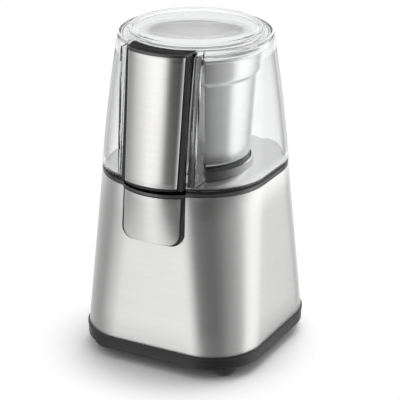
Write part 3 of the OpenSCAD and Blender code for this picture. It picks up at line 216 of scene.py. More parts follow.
def smooth(obj, sharp=35.0):
    obj.data.shade_smooth()
    obj.data.set_sharp_from_angle(angle=radians(sharp))


def boolean(obj, other, operation):
    """Join or cut obj with other, applied at once, and remove other."""
    modifier = obj.modifiers.new("cut", "BOOLEAN")
    modifier.operation = operation
    modifier.object = other
    modifier.solver = "EXACT"
    apply_modifiers(obj)
    bpy.data.objects.remove(other, do_unlink=True)


def apply_modifiers(obj):
    graph = bpy.context.evaluated_depsgraph_get()
    graph.update()
    done = bpy.data.meshes.new_from_object(obj.evaluated_get(graph))
    obj.modifiers.clear()
    old = obj.data
    obj.data = done
    bpy.data.meshes.remove(old)


def box_object(x0, x1, y0, y1, z0, z1):
    """A cutting block for a boolean; it isn't kept."""
    corners = [(x, y, z) for z in (z0, z1) for x, y in ((x0, y0), (x1, y0), (x1, y1), (x0, y1))]
    faces = [(3, 2, 1, 0), (4, 5, 6, 7), (0, 1, 5, 4), (1, 2, 6, 5), (2, 3, 7, 6), (3, 0, 4, 7)]
    return mesh_object("block", corners, faces)


def finish_piece(obj, body, slot, material, *nodes):
    """Give obj its body and its material, and hide the CAD nodes that it stands for. Its slot is not used.
    """
    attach(obj, body)
    if nodes:
        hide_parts(*nodes)
    obj.data.materials.clear()
    obj.data.materials.append(material)
    return obj


# ---------------------------------------------------------------- shader helpers

def new_material(name):
    material = bpy.data.materials.new(name)
    material.use_nodes = True
    tree = material.node_tree
    tree.nodes.clear()
    return material, tree


def node(tree, kind, values=None, **settings):
    """A shader node; values go to its sockets, by name or number, as constants or links."""
    made = tree.nodes.new(kind)
    for key, value in settings.items():
        setattr(made, key, value)
    for key, value in (values or {}).items():
        socket = made.inputs[key]
        if isinstance(value, bpy.types.NodeSocket):
            tree.links.new(value, socket)
        else:
            socket.default_value = value
    return made


def calc(tree, operation, a, b=0.0):
    return node(tree, "ShaderNodeMath", {0: a, 1: b}, operation=operation).outputs[0]


def noise(tree, scale, stretch=(1, 1, 1), detail=4.0, rough=0.55, offset=(0, 0, 0)):
    """Noise in the object's own metres, stretched along an axis by a small factor there."""
    place = node(tree, "ShaderNodeTexCoord").outputs["Object"]
    mapped = node(tree, "ShaderNodeMapping", {"Vector": place, "Scale": stretch, "Location": offset})
    made = node(tree, "ShaderNodeTexNoise",
                {"Vector": mapped.outputs[0], "Scale": scale, "Detail": detail, "Roughness": rough})
    return made.outputs[0]


def place_in_object(tree):
    """Distance from the object's vertical axis, and height, in the object's own metres."""
    place = node(tree, "ShaderNodeTexCoord").outputs["Object"]
    flat = node(tree, "ShaderNodeVectorMath", {0: place, 1: (1, 1, 0)}, operation="MULTIPLY").outputs[0]
    away = node(tree, "ShaderNodeVectorMath", {0: flat}, operation="LENGTH").outputs["Value"]
    return away, node(tree, "ShaderNodeSeparateXYZ", {0: place}).outputs[2]


def span(tree, value, low, high, to_low, to_high):
    made = node(tree, "ShaderNodeMapRange",
                {"Value": value, "From Min": low, "From Max": high, "To Min": to_low, "To Max": to_high})
    return made.outputs[0]


def blend_colour(tree, share, a, b):
    made = node(tree, "ShaderNodeMix", data_type="RGBA")
    for socket, value in ((made.inputs[0], share), (made.inputs[6], a), (made.inputs[7], b)):
        if isinstance(value, bpy.types.NodeSocket):
            tree.links.new(value, socket)
        else:
            socket.default_value = value if isinstance(value, float) else (*value, 1.0)
    return made.outputs[2]


def bump(tree, height, distance, strength=1.0, normal=None):
    values = {"Height": height, "Distance": distance, "Strength": strength}
    if normal is not None:
        values["Normal"] = normal
    return node(tree, "ShaderNodeBump", values).outputs[0]


def rounded(tree, radius):
    """A normal that rounds the edges by radius, in metres."""
    return node(tree, "ShaderNodeBevel", {"Radius": radius}, samples=4).outputs[0]


def surface(tree, shader):
    node(tree, "ShaderNodeOutputMaterial", {"Surface": shader})


def shiny(tree, values):
    return node(tree, "ShaderNodeBsdfPrincipled", values).outputs[0]


# ---------------------------------------------------------------- materials

# Rounding of edges in the shading of plastic and metal, in millimetres
PLASTIC_EDGE, METAL_EDGE = 0.35, 0.2
# Depth of the grain of moulded plastic in metres, and its scale
SOFT_GRAIN, FINE_GRAIN, GRAIN_SCALE = 0.000012, 0.000006, 2600.0


def brushed(name, tone, rough, stretch, aniso=0.75, along=None):
    """Brushed steel: fine scratches drawn along one direction, in tone, gloss and relief."""
    material, tree = new_material(name)
    fine = noise(tree, 1.0, stretch, 3.0, 0.6)
    broad = noise(tree, 1.0, tuple(s * 0.13 for s in stretch), 3.0, 0.5, (7, 3, 1))
    grime = noise(tree, 22.0, (1, 1, 1), 3.0, 0.5, (2, 9, 4))
    colour = blend_colour(tree, span(tree, fine, 0.3, 0.7, 0.0, 1.0),
                          tuple(c * 0.95 for c in tone), tuple(min(1.0, c * 1.03) for c in tone))
    gloss = calc(tree, "ADD", span(tree, broad, 0.3, 0.7, rough - 0.015, rough + 0.02),
                 span(tree, grime, 0.35, 0.7, -0.015, 0.02))
    normal = bump(tree, calc(tree, "ADD", fine, calc(tree, "MULTIPLY", broad, 0.4)), 0.000006, 0.5)
    values = {"Base Color": colour, "Metallic": 1.0, "Roughness": gloss, "Normal": normal,
              "Anisotropic": aniso}
    if along == "round":
        values["Tangent"] = node(tree, "ShaderNodeTangent", direction_type="RADIAL", axis="Z").outputs[0]
        values["Anisotropic Rotation"] = 0.25
    surface(tree, shiny(tree, values))
    return material


def moulded(name, tone, rough, grain=SOFT_GRAIN, grain_scale=GRAIN_SCALE, sheen=0.0,
            edge_radius=PLASTIC_EDGE * MM, index=1.5):
    """Moulded plastic or rubber with a fine grain, soft edges and a little wear on them."""
    material, tree = new_material(name)
    grain_noise = noise(tree, grain_scale, (1, 1, 1), 3.0, 0.6)
    patch = noise(tree, 45.0, (1, 1, 1), 4.0, 0.6, (3, 1, 8))
    edge = node(tree, "ShaderNodeNewGeometry").outputs["Pointiness"]
    wear = span(tree, edge, 0.52, 0.62, 0.0, 0.35)
    colour = blend_colour(tree, span(tree, patch, 0.35, 0.7, 0.0, 1.0), tuple(c * 0.88 for c in tone),
                          tuple(min(1.0, c * 1.15) for c in tone))
    colour = blend_colour(tree, wear, colour, tuple(min(1.0, c * 1.6 + 0.02) for c in tone))
    gloss = span(tree, patch, 0.3, 0.7, rough - 0.05, rough + 0.06)
    normal = bump(tree, grain_noise, grain, 0.6, rounded(tree, edge_radius))
    values = {"Base Color": colour, "Roughness": gloss, "Normal": normal, "Sheen Weight": sheen,
              "IOR": index}
    surface(tree, shiny(tree, values))
    return material


def metal(name, tone, rough, scale=900.0, depth=0.000008, stretch=(1, 1, 1)):
    """Plain machined, plated or drawn metal with small marks."""
    material, tree = new_material(name)
    marks = noise(tree, scale, stretch, 4.0, 0.6)
    patch = noise(tree, 60.0, (1, 1, 1), 4.0, 0.6, (5, 2, 1))
    colour = blend_colour(tree, span(tree, patch, 0.35, 0.65, 0.0, 1.0), tuple(c * 0.85 for c in tone),
                          tuple(min(1.0, c * 1.08) for c in tone))
    gloss = span(tree, marks, 0.3, 0.7, rough - 0.06, rough + 0.08)
    normal = bump(tree, marks, depth, 0.6, rounded(tree, METAL_EDGE * MM))
    values = {"Base Color": colour, "Metallic": 1.0, "Roughness": gloss, "Normal": normal}
    surface(tree, shiny(tree, values))
    return material


# Rays are set free inside this part of the lid's disc, after this many turns
CAUGHT_RADIUS, CAUGHT_Z, CAUGHT_DEPTH = 38.5, 211.5, 5.5
# Colour of the plastic seen straight and at a slant
CLEAR_TINT, SLANT_TINT, SLANT_POWER = (0.985, 0.99, 0.988), (0.22, 0.23, 0.24), 6.0


def clear_plastic():
    """Clear moulded acrylic: refracts what is seen through it, and lets plain light pass.

    Rays caught between the disc's faces leave it after a few turns. The bounce limit would end them black.
    """
    material, tree = new_material("clear_plastic")
    ripple = bump(tree, noise(tree, 60.0, (1, 1, 1), 2.0, 0.5), 0.00002, 0.2)
    smears = span(tree, noise(tree, 30.0, (1, 1, 1), 4.0, 0.6, (4, 4, 4)), 0.3, 0.7, 0.0, 0.03)
    facing = node(tree, "ShaderNodeLayerWeight", {"Blend": 0.5, "Normal": ripple}).outputs["Facing"]
    tint = blend_colour(tree, calc(tree, "POWER", facing, SLANT_POWER), CLEAR_TINT, SLANT_TINT)
    glass = shiny(tree, {"Base Color": tint, "Roughness": smears, "Normal": ripple,
                         "Transmission Weight": 1.0, "IOR": 1.49})
    clear = node(tree, "ShaderNodeBsdfTransparent", {"Color": tint}).outputs[0]
    path = node(tree, "ShaderNodeLightPath").outputs
    plain = calc(tree, "MAXIMUM", path["Is Shadow Ray"], path["Is Diffuse Ray"])
    away, height = place_in_object(tree)
    in_disc = calc(tree, "MULTIPLY", calc(tree, "LESS_THAN", away, CAUGHT_RADIUS * MM),
                   calc(tree, "GREATER_THAN", height, CAUGHT_Z * MM))
    caught = calc(tree, "MULTIPLY", in_disc, calc(tree, "GREATER_THAN", path["Ray Depth"], CAUGHT_DEPTH))
    share = calc(tree, "MAXIMUM", plain, caught)
    surface(tree, node(tree, "ShaderNodeMixShader", {0: share, 1: glass, 2: clear}).outputs[0])
    return material


# Scale of the scratches along x, y and z: drawn round the object, drawn round the cup, and along x
ROUND_BRUSH, CUP_BRUSH, FLAT_BRUSH = (55.0, 55.0, 5200.0), (60.0, 60.0, 3600.0), (45.0, 3800.0, 3800.0)
STEEL = (0.79, 0.785, 0.78)

MATERIALS = {
    "brushed_steel": brushed("brushed_steel", STEEL, 0.30, ROUND_BRUSH, 0.8, "round"),
    "cup_steel": brushed("cup_steel", (0.93, 0.93, 0.93), 0.22, CUP_BRUSH, 0.6, "round"),
    "blade_steel": metal("blade_steel", (0.72, 0.72, 0.73), 0.26, 1400.0, 0.000006, (1, 6, 1)),
    "black_plastic": moulded("black_plastic", (0.012, 0.012, 0.013), 0.36),
    "coupling_plastic": moulded("coupling_plastic", (0.035, 0.035, 0.04), 0.5),
    "switch_body": moulded("switch_body", (0.05, 0.045, 0.045), 0.45),
    "clear_plastic": clear_plastic(),
    "rubber": moulded("rubber", (0.03, 0.03, 0.03), 0.72, 0.00002, 1800.0, 0.15),
    "lamination_iron": metal("lamination_iron", (0.35, 0.36, 0.38), 0.45, 1.0, 0.00003, (40, 40, 2400)),
    "copper": metal("copper", (0.72, 0.33, 0.16), 0.34, 1.0, 0.00004, (300, 300, 2600)),
    "cast_alloy": metal("cast_alloy", (0.55, 0.56, 0.57), 0.5, 1500.0, 0.00003),
    "zinc_steel": metal("zinc_steel", (0.66, 0.66, 0.64), 0.34),
    "spring_steel": metal("spring_steel", (0.5, 0.5, 0.5), 0.3),
    "bearing_steel": metal("bearing_steel", (0.68, 0.68, 0.69), 0.2),
    "carbon": moulded("carbon", (0.03, 0.03, 0.032), 0.55),
    "fan_nylon": moulded("fan_nylon", (0.7, 0.69, 0.64), 0.45),
    "bush_brass": metal("bush_brass", (0.75, 0.56, 0.26), 0.3),
}

# Where the joint's band is lacquered: from BAND_LOW up to the black strip at its top, outside BAND_REACH.
# That strip is the band's own black, left unmirrored as painted shade for the gap under the lid.
BAND_SHADE_LINE, BAND_LOW, BAND_REACH = 125.7, 122.5, 50.0
BAND_TONE, BAND_METAL = (0.14, 0.14, 0.145), 0.9


def lacquer(material, tone, share):
    """Below a thin black strip, left as painted shade for the gap under the lid, the joint's band is
    lacquered and mirrors the room.
    """
    tree = material.node_tree
    shader = next(n for n in tree.nodes if n.type == "BSDF_PRINCIPLED")
    away, height = place_in_object(tree)
    # Above the black strip's line the band keeps its plain black: painted shade for the gap under the lid
    low = calc(tree, "MULTIPLY", calc(tree, "LESS_THAN", height, BAND_SHADE_LINE * MM),
               calc(tree, "GREATER_THAN", height, BAND_LOW * MM))
    low = calc(tree, "MULTIPLY", low, calc(tree, "GREATER_THAN", away, BAND_REACH * MM))
    plain = shader.inputs["Base Color"].links[0].from_socket
    tree.links.new(blend_colour(tree, low, plain, tone), shader.inputs["Base Color"])
    tree.links.new(calc(tree, "MULTIPLY", low, share), shader.inputs["Metallic"])
    return material


def black_mould(name, tone, rough, grain, edge_radius, index):
    """Black plastic of one piece, with its own gloss."""
    colour = (tone, tone, tone + 0.001)
    return moulded(name, colour, rough, grain, GRAIN_SCALE, 0.0, edge_radius * MM, index)


DECK_STEEL = brushed("deck_steel", (0.68, 0.68, 0.68), 0.13, FLAT_BRUSH, 0.3)
LEVER_STEEL = brushed("lever_steel", STEEL, 0.18, ROUND_BRUSH, 0.6, "round")
BAND_PLASTIC = lacquer(black_mould("band_plastic", 0.008, 0.2, FINE_GRAIN, 0.8, 1.35), BAND_TONE, BAND_METAL)
TRAY_PLASTIC = black_mould("tray_plastic", 0.014, 0.38, SOFT_GRAIN, 1.2, 1.5)
# The cap's one black plastic in two colours: its top painted darker as painted shade, its front lighter as
# painted light
CAP_TOP_SHADED = black_mould("cap_top_shaded", 0.008, 0.5, SOFT_GRAIN, 0.4, 1.1)
CAP_FRONT_LIT = black_mould("cap_front_lit", 0.03, 0.2, FINE_GRAIN, 0.4, 1.8)
BODY_PLASTIC = black_mould("body_plastic", 0.014, 0.4, SOFT_GRAIN, 0.6, 1.45)
NODE_MATERIALS = {"deck_plate": DECK_STEEL, "top_housing": BAND_PLASTIC, "base_tray": TRAY_PLASTIC,
                  "lever_carrier": BODY_PLASTIC}


# ---------------------------------------------------------------- CAD nodes with their materials

for name, obj in frame["nodes"].items():
    for place in obj.material_slots:
        key = place.material.name.split(".")[0] if place.material else "black_plastic"
        place.material = NODE_MATERIALS.get(name, MATERIALS[key])


# ---------------------------------------------------------------- steel body skin

def body_ring(z, inset):
    return square_ring(body_half(z) - inset, body_corner(z) - inset, z)


def cord_hole(steps=48):
    def ring(y):
        turns = [2 * pi * i / steps for i in range(steps)]
        return [(CORD_HOLE_RADIUS * cos(a), y, CORD_HOLE_Z + CORD_HOLE_RADIUS * sin(a)) for a in turns]

    return mesh_object("hole", *loft_faces([ring(CORD_HOLE_NEAR), ring(CORD_HOLE_FAR)]))


def body_skin():
    """The brushed sheet of the base, with its edges turned and its openings cut."""
    low, high, edge = BODY_Z, JOINT_Z, SHEET_EDGE
    section = [(SHEET, low), (edge, low), (edge * 0.3, low + edge * 0.3), (0.0, low + edge)]
    section += [(0.0, mix(low + edge, high - edge, i / 6)) for i in range(1, 7)]
    section += [(edge * 0.3, high - edge * 0.3), (edge, high), (SHEET, high)]
    section += [(SHEET, mix(high, low, i / 3)) for i in (1, 2)]
    rings = [body_ring(z, inset) for inset, z in section]
    skin = mesh_object("body_skin", *loft_faces(rings, loop=True))
    for half, top in ((PLUNGER_HALF, PLUNGER_HIGH), (WINDOW_HALF, WINDOW_HIGH)):
        boolean(skin, box_object(-half, half, -CUT_REACH, 0, WINDOW_LOW, top), "DIFFERENCE")
    boolean(skin, cord_hole(), "DIFFERENCE")
    smooth(skin, 40)
    return finish_piece(skin, "base", "brushed_steel", MATERIALS["brushed_steel"], "body_shell")


body_skin()


# ---------------------------------------------------------------- curved covers on the front

def arc_front(x, half, front, crown):
    """Depth at x of a front that bulges by crown over 2 * half."""
    radius = (half * half + crown * crown) / (2 * crown)
    return front + radius - sqrt(max(radius * radius - x * x, 0.0))


def plate(name, levels, outer, inner, sharp=35.0):
    """A bent plate: outer(z) and inner(z) give equal lists of points from one side edge to the other."""
    rings = []
    for z in levels:
        rings.append([(x, y, z) for x, y in outer(z)] + [(x, y, z) for x, y in reversed(inner(z))])
    n = len(rings[0])
    half = n // 2
    verts = [p for ring in rings for p in ring]
    faces = []
    for k in range(len(rings) - 1):
        for i in range(n):
            j = (i + 1) % n
            faces.append((k * n + i, k * n + j, (k + 1) * n + j, (k + 1) * n + i))
    for base in (0, (len(rings) - 1) * n):
        for i in range(half - 1):
            faces.append((base + i, base + i + 1, base + n - 2 - i, base + n - 1 - i))
    return mesh_object(name, verts, faces, sharp)


def switch_cover(steps=40):
    """The tongue's steel cover, with round lower corners."""
    low, corner = TONGUE_LOW + TONGUE_MARGIN, TONGUE_CORNER - TONGUE_MARGIN

    def front(z):
        return mix(TONGUE_LOW_FRONT, TONGUE_FRONT, (z - TONGUE_LOW) / (JOINT_Z - TONGUE_LOW))

    def crown(z):
        return mix(TONGUE_LOW_CROWN, TONGUE_CROWN, (z - TONGUE_LOW) / (JOINT_Z - TONGUE_LOW))

    def half(z):
        drop = max(0.0, corner - (z - low))
        return COVER_HALF - corner + sqrt(max(corner * corner - drop * drop, 0.0))

    def side(depth):
        def points(z):
            w = half(z)
            xs = [mix(-w, w, i / steps) for i in range(steps + 1)]
            return [(x, arc_front(x, TONGUE_HALF, front(z), crown(z)) + depth) for x in xs]
        return points

    levels = [low + corner * (1 - cos(radians(a))) for a in range(0, 91, 6)]
    levels += [mix(low + corner, COVER_TOP, i / 6) for i in range(1, 7)]
    cover = plate("switch_cover_plate", levels, side(0.0), side(SHEET))
    bevel(cover, COVER_BEVEL)
    return finish_piece(cover, "base", "brushed_steel", MATERIALS["brushed_steel"], "switch_cover")


def bevel(obj, width, segments=3, angle=50.0):
    modifier = obj.modifiers.new("edges", "BEVEL")
    modifier.width = width * MM
    modifier.segments = segments
    modifier.limit_method = "ANGLE"
    modifier.angle_limit = radians(angle)
    modifier.harden_normals = False
    apply_modifiers(obj)
    smooth(obj, 40)


def lever_front(z):
    return mix(LEVER_FRONT_JOINT, LEVER_FRONT_RIM, lid_share(z))


def lever_crown(z):
    return mix(LEVER_LOW_CROWN, LEVER_CROWN, lid_share(z))


def cover_half(z):
    return mix(COVER_LOW_HALF, COVER_TOP_HALF, lid_share(z))


def shoulder(z):
    """Where the steel cover's side edges end, against the wider black body."""
    return lever_front(z) + lever_crown(z) + COVER_FLANGE


def lever_path(z, inset):
    """Half section of the lever's cover: from its back edge, round the bend and over the front."""
    half = cover_half(z) + mix(SKIN_WIDEN, 0.0, lid_share(z)) - inset
    front = mix(SKIN_FRONT_JOINT, SKIN_FRONT_RIM, lid_share(z)) + inset
    crown = mix(SKIN_LOW_CROWN, SKIN_CROWN, lid_share(z))
    radius = (half * half + crown * crown) / (2 * crown)
    back = shoulder(z)
    bend = LEVER_BEND - inset

    def depth(x):
        return front + radius - sqrt(radius * radius - x * x)

    start = (half, min(depth(half) + bend, back))
    end = (half - bend, depth(half - bend))
    control = (half, depth(half))
    points = [(half, mix(back, start[1], i / 2)) for i in range(2)]
    for i in range(9):
        t = i / 8
        points.append(tuple((1 - t) ** 2 * start[k] + 2 * t * (1 - t) * control[k] + t * t * end[k]
                            for k in (0, 1)))
    return points + [(mix(end[0], 0.0, i / 16), depth(mix(end[0], 0.0, i / 16))) for i in range(1, 17)]


def whole(points):
    """Mirror a half section that ends on the middle plane into a full one."""
    return [(x, y) for x, y in points] + [(-x, y) for x, y in reversed(points[:-1])]


def lever_cover():
    levels = [mix(LEVER_SKIN_LOW, LEVER_SKIN_TOP, i / 24) for i in range(25)]
    cover = plate("lever_cover_plate", levels, lambda z: whole(lever_path(z, 0.0)),
                  lambda z: whole(lever_path(z, SHEET)))
    bevel(cover, LEVER_BEVEL)
    return finish_piece(cover, "lever", "brushed_steel", LEVER_STEEL, "lever_cover")


def lever_cap():
    """The black cap on the lever's top: its front follows the cover, with a softly rounded top edge."""
    low = LEVER_SKIN_TOP + CAP_GAP
    sides = [(0.0, low), (0.0, mix(low, RIM_Z - CAP_EDGE, 0.5))]
    sides += [(CAP_EDGE * (1 - cos(radians(a))), RIM_Z - CAP_EDGE + CAP_EDGE * sin(radians(a)))
              for a in (0, 18, 36, 54, 72, 90)]
    rings = []
    for inset, z in sides:
        front = whole(lever_path(z, inset))
        half = LEVER_HALF - inset
        rear = shoulder(z) + CAP_SHOULDER_GAP + inset
        across = [mix(half, -half, i / 12) for i in range(13)]
        back = [(x, -sqrt(LEVER_BACK ** 2 - x * x)) for x in across]
        ring = list(reversed(front)) + [(half, rear)] + back + [(-half, rear)]
        rings.append([(x, y, z) for x, y in ring])
    cap = mesh_object("lever_cap", *loft_faces(rings), 30.0)
    finish_piece(cap, "lever", "black_plastic", CAP_FRONT_LIT, "lever_cap_piece")
    cap.data.materials.append(CAP_TOP_SHADED)
    # Faces that look up take the darker colour: painted shade on the cap's top
    for face in cap.data.polygons:
        if face.normal.z > FACING_UP:
            face.material_index = 1
    return cap


switch_cover()
lever_cover()
lever_cap()


# ---------------------------------------------------------------- cup

def arc(cx, cy, radius, start, end, steps):
    return [(cx + radius * cos(radians(mix(start, end, i / steps))),
             cy + radius * sin(radians(mix(start, end, i / steps)))) for i in range(steps + 1)]


def rise(start, end, steps):
    """Points from start, which is left out, to end."""
    shares = [i / steps for i in range(1, steps + 1)]
    return [(mix(start[0], end[0], share), mix(start[1], end[1], share)) for share in shares]


def beside(x, y, offsets):
    return [(x + across, y + up) for across, up in offsets]


def cup_outside(slope, neck):
    """Radius and height of points from the bush up the cup's outside to its rim."""
    foot, foot_top = CUP_FOOT - CUP_CORNER, CUP_FLOOR + CUP_CORNER
    step = beside(CUP_STEP, slope, OUTER_STEP)
    band = beside(CUP_RADIUS, CUP_BAND_Z, OUTER_BAND)
    points = [(BUSH_RADIUS, CUP_FLOOR), (foot, CUP_FLOOR)] + arc(foot, foot_top, CUP_CORNER, -80, 0, 8)
    points += rise((CUP_FOOT, foot_top), step[0], 8) + step[1:]
    points += [(mix(CUP_STEP, CUP_RADIUS, 0.5), mix(slope, CUP_BAND_Z, 0.5))]
    return points + band + rise(band[-1], (CUP_RADIUS, neck - NECK_OUTER), 4)


def cup_inside(slope, neck):
    """Radius and height of points from the cup's rim down its inside to the bush."""
    foot, foot_top = CUP_FOOT - CUP_CORNER, CUP_FLOOR + CUP_CORNER
    points = [(CUP_RADIUS - CUP_WALL, neck - NECK_INNER)]
    points += beside(CUP_RADIUS - CUP_WALL, CUP_BAND_Z, INNER_BAND)
    points += [(mix(CUP_STEP, CUP_RADIUS, 0.5) - CUP_WALL, mix(slope, CUP_BAND_Z, 0.5) + INNER_RISE)]
    points += beside(CUP_STEP - CUP_WALL, slope, INNER_STEP)
    points += rise(points[-1], (CUP_FOOT - CUP_WALL, foot_top), 8)
    points += arc(foot, foot_top, CUP_CORNER - CUP_WALL, 0, -90, 8)
    return points + [(BUSH_RADIUS, CUP_FLOOR + CUP_WALL)]


def cup():
    """The stepped steel cup: up its outside, over the rolled rim and down its inside."""
    bead = CUP_RIM - CUP_RADIUS + CUP_WALL / 2
    slope, neck = CUP_BAND_Z - CUP_SLOPE, CUP_TOP - 2 * bead
    roll = arc(CUP_RIM - bead, CUP_TOP - bead, bead, -70, 200, 20)
    rings = [circle_ring(r, z, 160) for r, z in cup_outside(slope, neck) + roll + cup_inside(slope, neck)]
    piece = mesh_object("cup_wall", *loft_faces(rings, loop=True))
    return finish_piece(piece, "cup", "cup_steel", MATERIALS["cup_steel"], "cup_shell")


cup()


# ---------------------------------------------------------------- springs in place of the CAD coils

# How much closer together a spring's end coils lie, as a share of its length
END_COILS = 0.08


def coil_path(radius, low, high, turns, steps=24):
    """A helix whose first and last turns lie closer together, as on a ground compression spring."""
    count = turns * steps
    path = []
    for i in range(count + 1):
        t = i / count
        eased = t - END_COILS * sin(2 * pi * t)
        a = 2 * pi * i / steps
        path.append((radius * cos(a), radius * sin(a), mix(low, high, eased), a))
    return path


def wound_spring(name, node_name, body, centres, wire, turns, sides=10):
    """A coil in place of the CAD node, filling the height of its box."""
    lowest, highest = (tuple(c / MM for c in corner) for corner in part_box(node_name))
    low, high = lowest[2], highest[2]
    verts, faces = [], []
    for cx, cy, radius in centres(lowest, highest, wire):
        start = len(verts)
        path = coil_path(radius, low + wire / 2, high - wire / 2, turns)
        for x, y, z, a in path:
            for j in range(sides):
                b = 2 * pi * j / sides
                verts.append((cx + x + wire / 2 * cos(b) * cos(a), cy + y + wire / 2 * cos(b) * sin(a),
                              z + wire / 2 * sin(b)))
        for i in range(len(path) - 1):
            for j in range(sides):
                a, b = start + i * sides + j, start + i * sides + (j + 1) % sides
                faces.append((a, b, b + sides, a + sides))
        last = start + (len(path) - 1) * sides
        faces.append(tuple(start + j for j in reversed(range(sides))))
        faces.append(tuple(last + j for j in range(sides)))
    coil = mesh_object(name, verts, faces, 60.0)
    finish_piece(coil, body, "spring_steel", MATERIALS["spring_steel"], node_name)
    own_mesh(coil)
    return coil


def spring_pair(lowest, highest, wire):
    """Centres and radius of two coils that fill the box, one at each end of it."""
    radius = (highest[1] - lowest[1] - wire) / 2
    middle = (lowest[1] + highest[1]) / 2
    reach = highest[0] - radius - wire / 2
    return [(reach, middle, radius), (-reach, middle, radius)]


def spring_alone(lowest, highest, wire):
    """Centre and radius of one coil that fills the box."""
    radius = (highest[1] - lowest[1] - wire) / 2
    return [((lowest[0] + highest[0]) / 2, (lowest[1] + highest[1]) / 2, radius)]


wound_spring("lever_coils", "lever_springs", "lever", spring_pair, SPRING_WIRE, 6)
wound_spring("plunger_coil", "plunger_spring", "plunger", spring_alone, SPRING_WIRE, 5)


# ---------------------------------------------------------------- clear lid

def wall(z, inset):
    """A ring of the lid's tapered wall."""
    return square_ring(lid_half(z) - inset, lid_corner(z) - inset, z)


def disc(radius, z):
    """A round ring with as many points as a ring of the wall."""
    return square_ring(radius, radius, z)


def lid_outside():
    """Rings from the middle of the raised disc, over the rim and down the wall's outside to its lip."""
    rings = [disc(LID_HUB, DISC_Z), disc(DISC_FLAT, DISC_Z)]
    rings += [disc(x, y) for x, y in arc(DISC_RADIUS - DISC_EDGE, DISC_Z - DISC_EDGE, DISC_EDGE, 90, 0, 5)]
    rings += [disc(x, y) for x, y in arc(DISC_RADIUS + DISC_FOOT, RIM_Z + DISC_FOOT, DISC_FOOT, 180, 270, 4)]
    top = RIM_Z - LID_EDGE
    for a in [radians(90 - 15 * i) for i in range(7)]:
        inset, z = LID_EDGE * (1 - cos(a)), top + LID_EDGE * sin(a)
        rings.append(square_ring(lid_half(RIM_Z) - inset, lid_corner(RIM_Z) - inset, z))
    rings += [wall(mix(top, LID_Z + LIP_ROUND, i / 10), 0.0) for i in range(1, 11)]
    return rings + [wall(LID_Z + LIP_MIDDLE, LIP_MIDDLE), wall(LID_Z, LIP_ROUND)]


def lid_inside():
    """Rings from the lip up the wall's inside, round the collar and to the middle of the disc."""
    roof, under = RIM_Z - LID_WALL, DISC_RADIUS - LID_WALL
    collar, ceiling = roof - COLLAR_DROP, DISC_Z - LID_WALL
    rings = [wall(LID_Z, LID_WALL - LIP_BEVEL), wall(LID_Z + LIP_BEVEL, LID_WALL)]
    rings += [wall(mix(LID_Z + LIP_BEVEL, roof - ROOF_ROUND, i / 10), LID_WALL) for i in range(1, 11)]
    rings += [wall(roof - ROOF_MIDDLE, LID_WALL + ROOF_MIDDLE), wall(roof, LID_WALL + ROOF_ROUND)]
    rings += [disc(CHANNEL_OUTER, roof), disc(CHANNEL_OUTER, collar + COLLAR_EDGE)]
    rings += [disc(CHANNEL_OUTER - COLLAR_EDGE, collar), disc(CHANNEL_INNER + COLLAR_EDGE, collar)]
    rings += [disc(CHANNEL_INNER, collar + COLLAR_EDGE), disc(CHANNEL_INNER, roof)]
    rings += [disc(under, roof), disc(under, ceiling - UNDER_EDGE), disc(under - UNDER_EDGE, ceiling)]
    return rings + [disc(DISC_FLAT, ceiling), disc(LID_HUB, ceiling)]


def lid():
    shell = mesh_object("lid_clear", *loft_faces(lid_outside() + lid_inside()))
    boolean(shell, channel(), "UNION")
    boolean(shell, slot_block(), "DIFFERENCE")
    smooth(shell, 30)
    return finish_piece(shell, "lid", "clear_plastic", MATERIALS["clear_plastic"], "lid_shell")


def channel():
    """The walls that guide the lever inside the lid, as one bent plate."""
    high = RIM_Z - CHANNEL_TOP_DROP

    def channel_face(z, half, end_half, radius):
        """One face: from the lid's front wall back, along an arc in front of the cup and forward again."""
        reach = acos(end_half / CHANNEL_OUTER)
        turned = [mix(-reach, -(pi - reach), i / 40) for i in range(41)]
        front = -(lid_half(z) - CHANNEL_SINK)
        line = [(half, mix(front, radius * sin(turned[0]), i / 3)) for i in range(3)]
        bend = [(radius * cos(a), radius * sin(a)) for a in turned]
        return line + bend + [(-x, y) for x, y in reversed(line)]

    def outer(z):
        return channel_face(z, CHANNEL_HALF, CHANNEL_HALF - CHANNEL_TURN, CHANNEL_INNER)

    def inner(z):
        return channel_face(z, POCKET_HALF, POCKET_HALF, CHANNEL_OUTER)

    return plate("channel", [mix(CHANNEL_LOW, high, i / 10) for i in range(11)], outer, inner)


def slot_block(steps=24):
    """What is cut from the lid's front and rim to let the lever stand in its channel."""
    across = [mix(SLOT_HALF, -SLOT_HALF, i / steps) for i in range(steps + 1)]
    outline = [(-SLOT_HALF, -SLOT_FRONT), (SLOT_HALF, -SLOT_FRONT)]
    outline += [(x, -sqrt(CHANNEL_OUTER ** 2 - x * x)) for x in across]
    rings = [[(x, y, z) for x, y in outline] for z in (LID_Z - SLOT_OVER, RIM_Z + SLOT_OVER)]
    return mesh_object("slot_block", *loft_faces(rings))


lid()


# ---------------------------------------------------------------- stage, light and camera

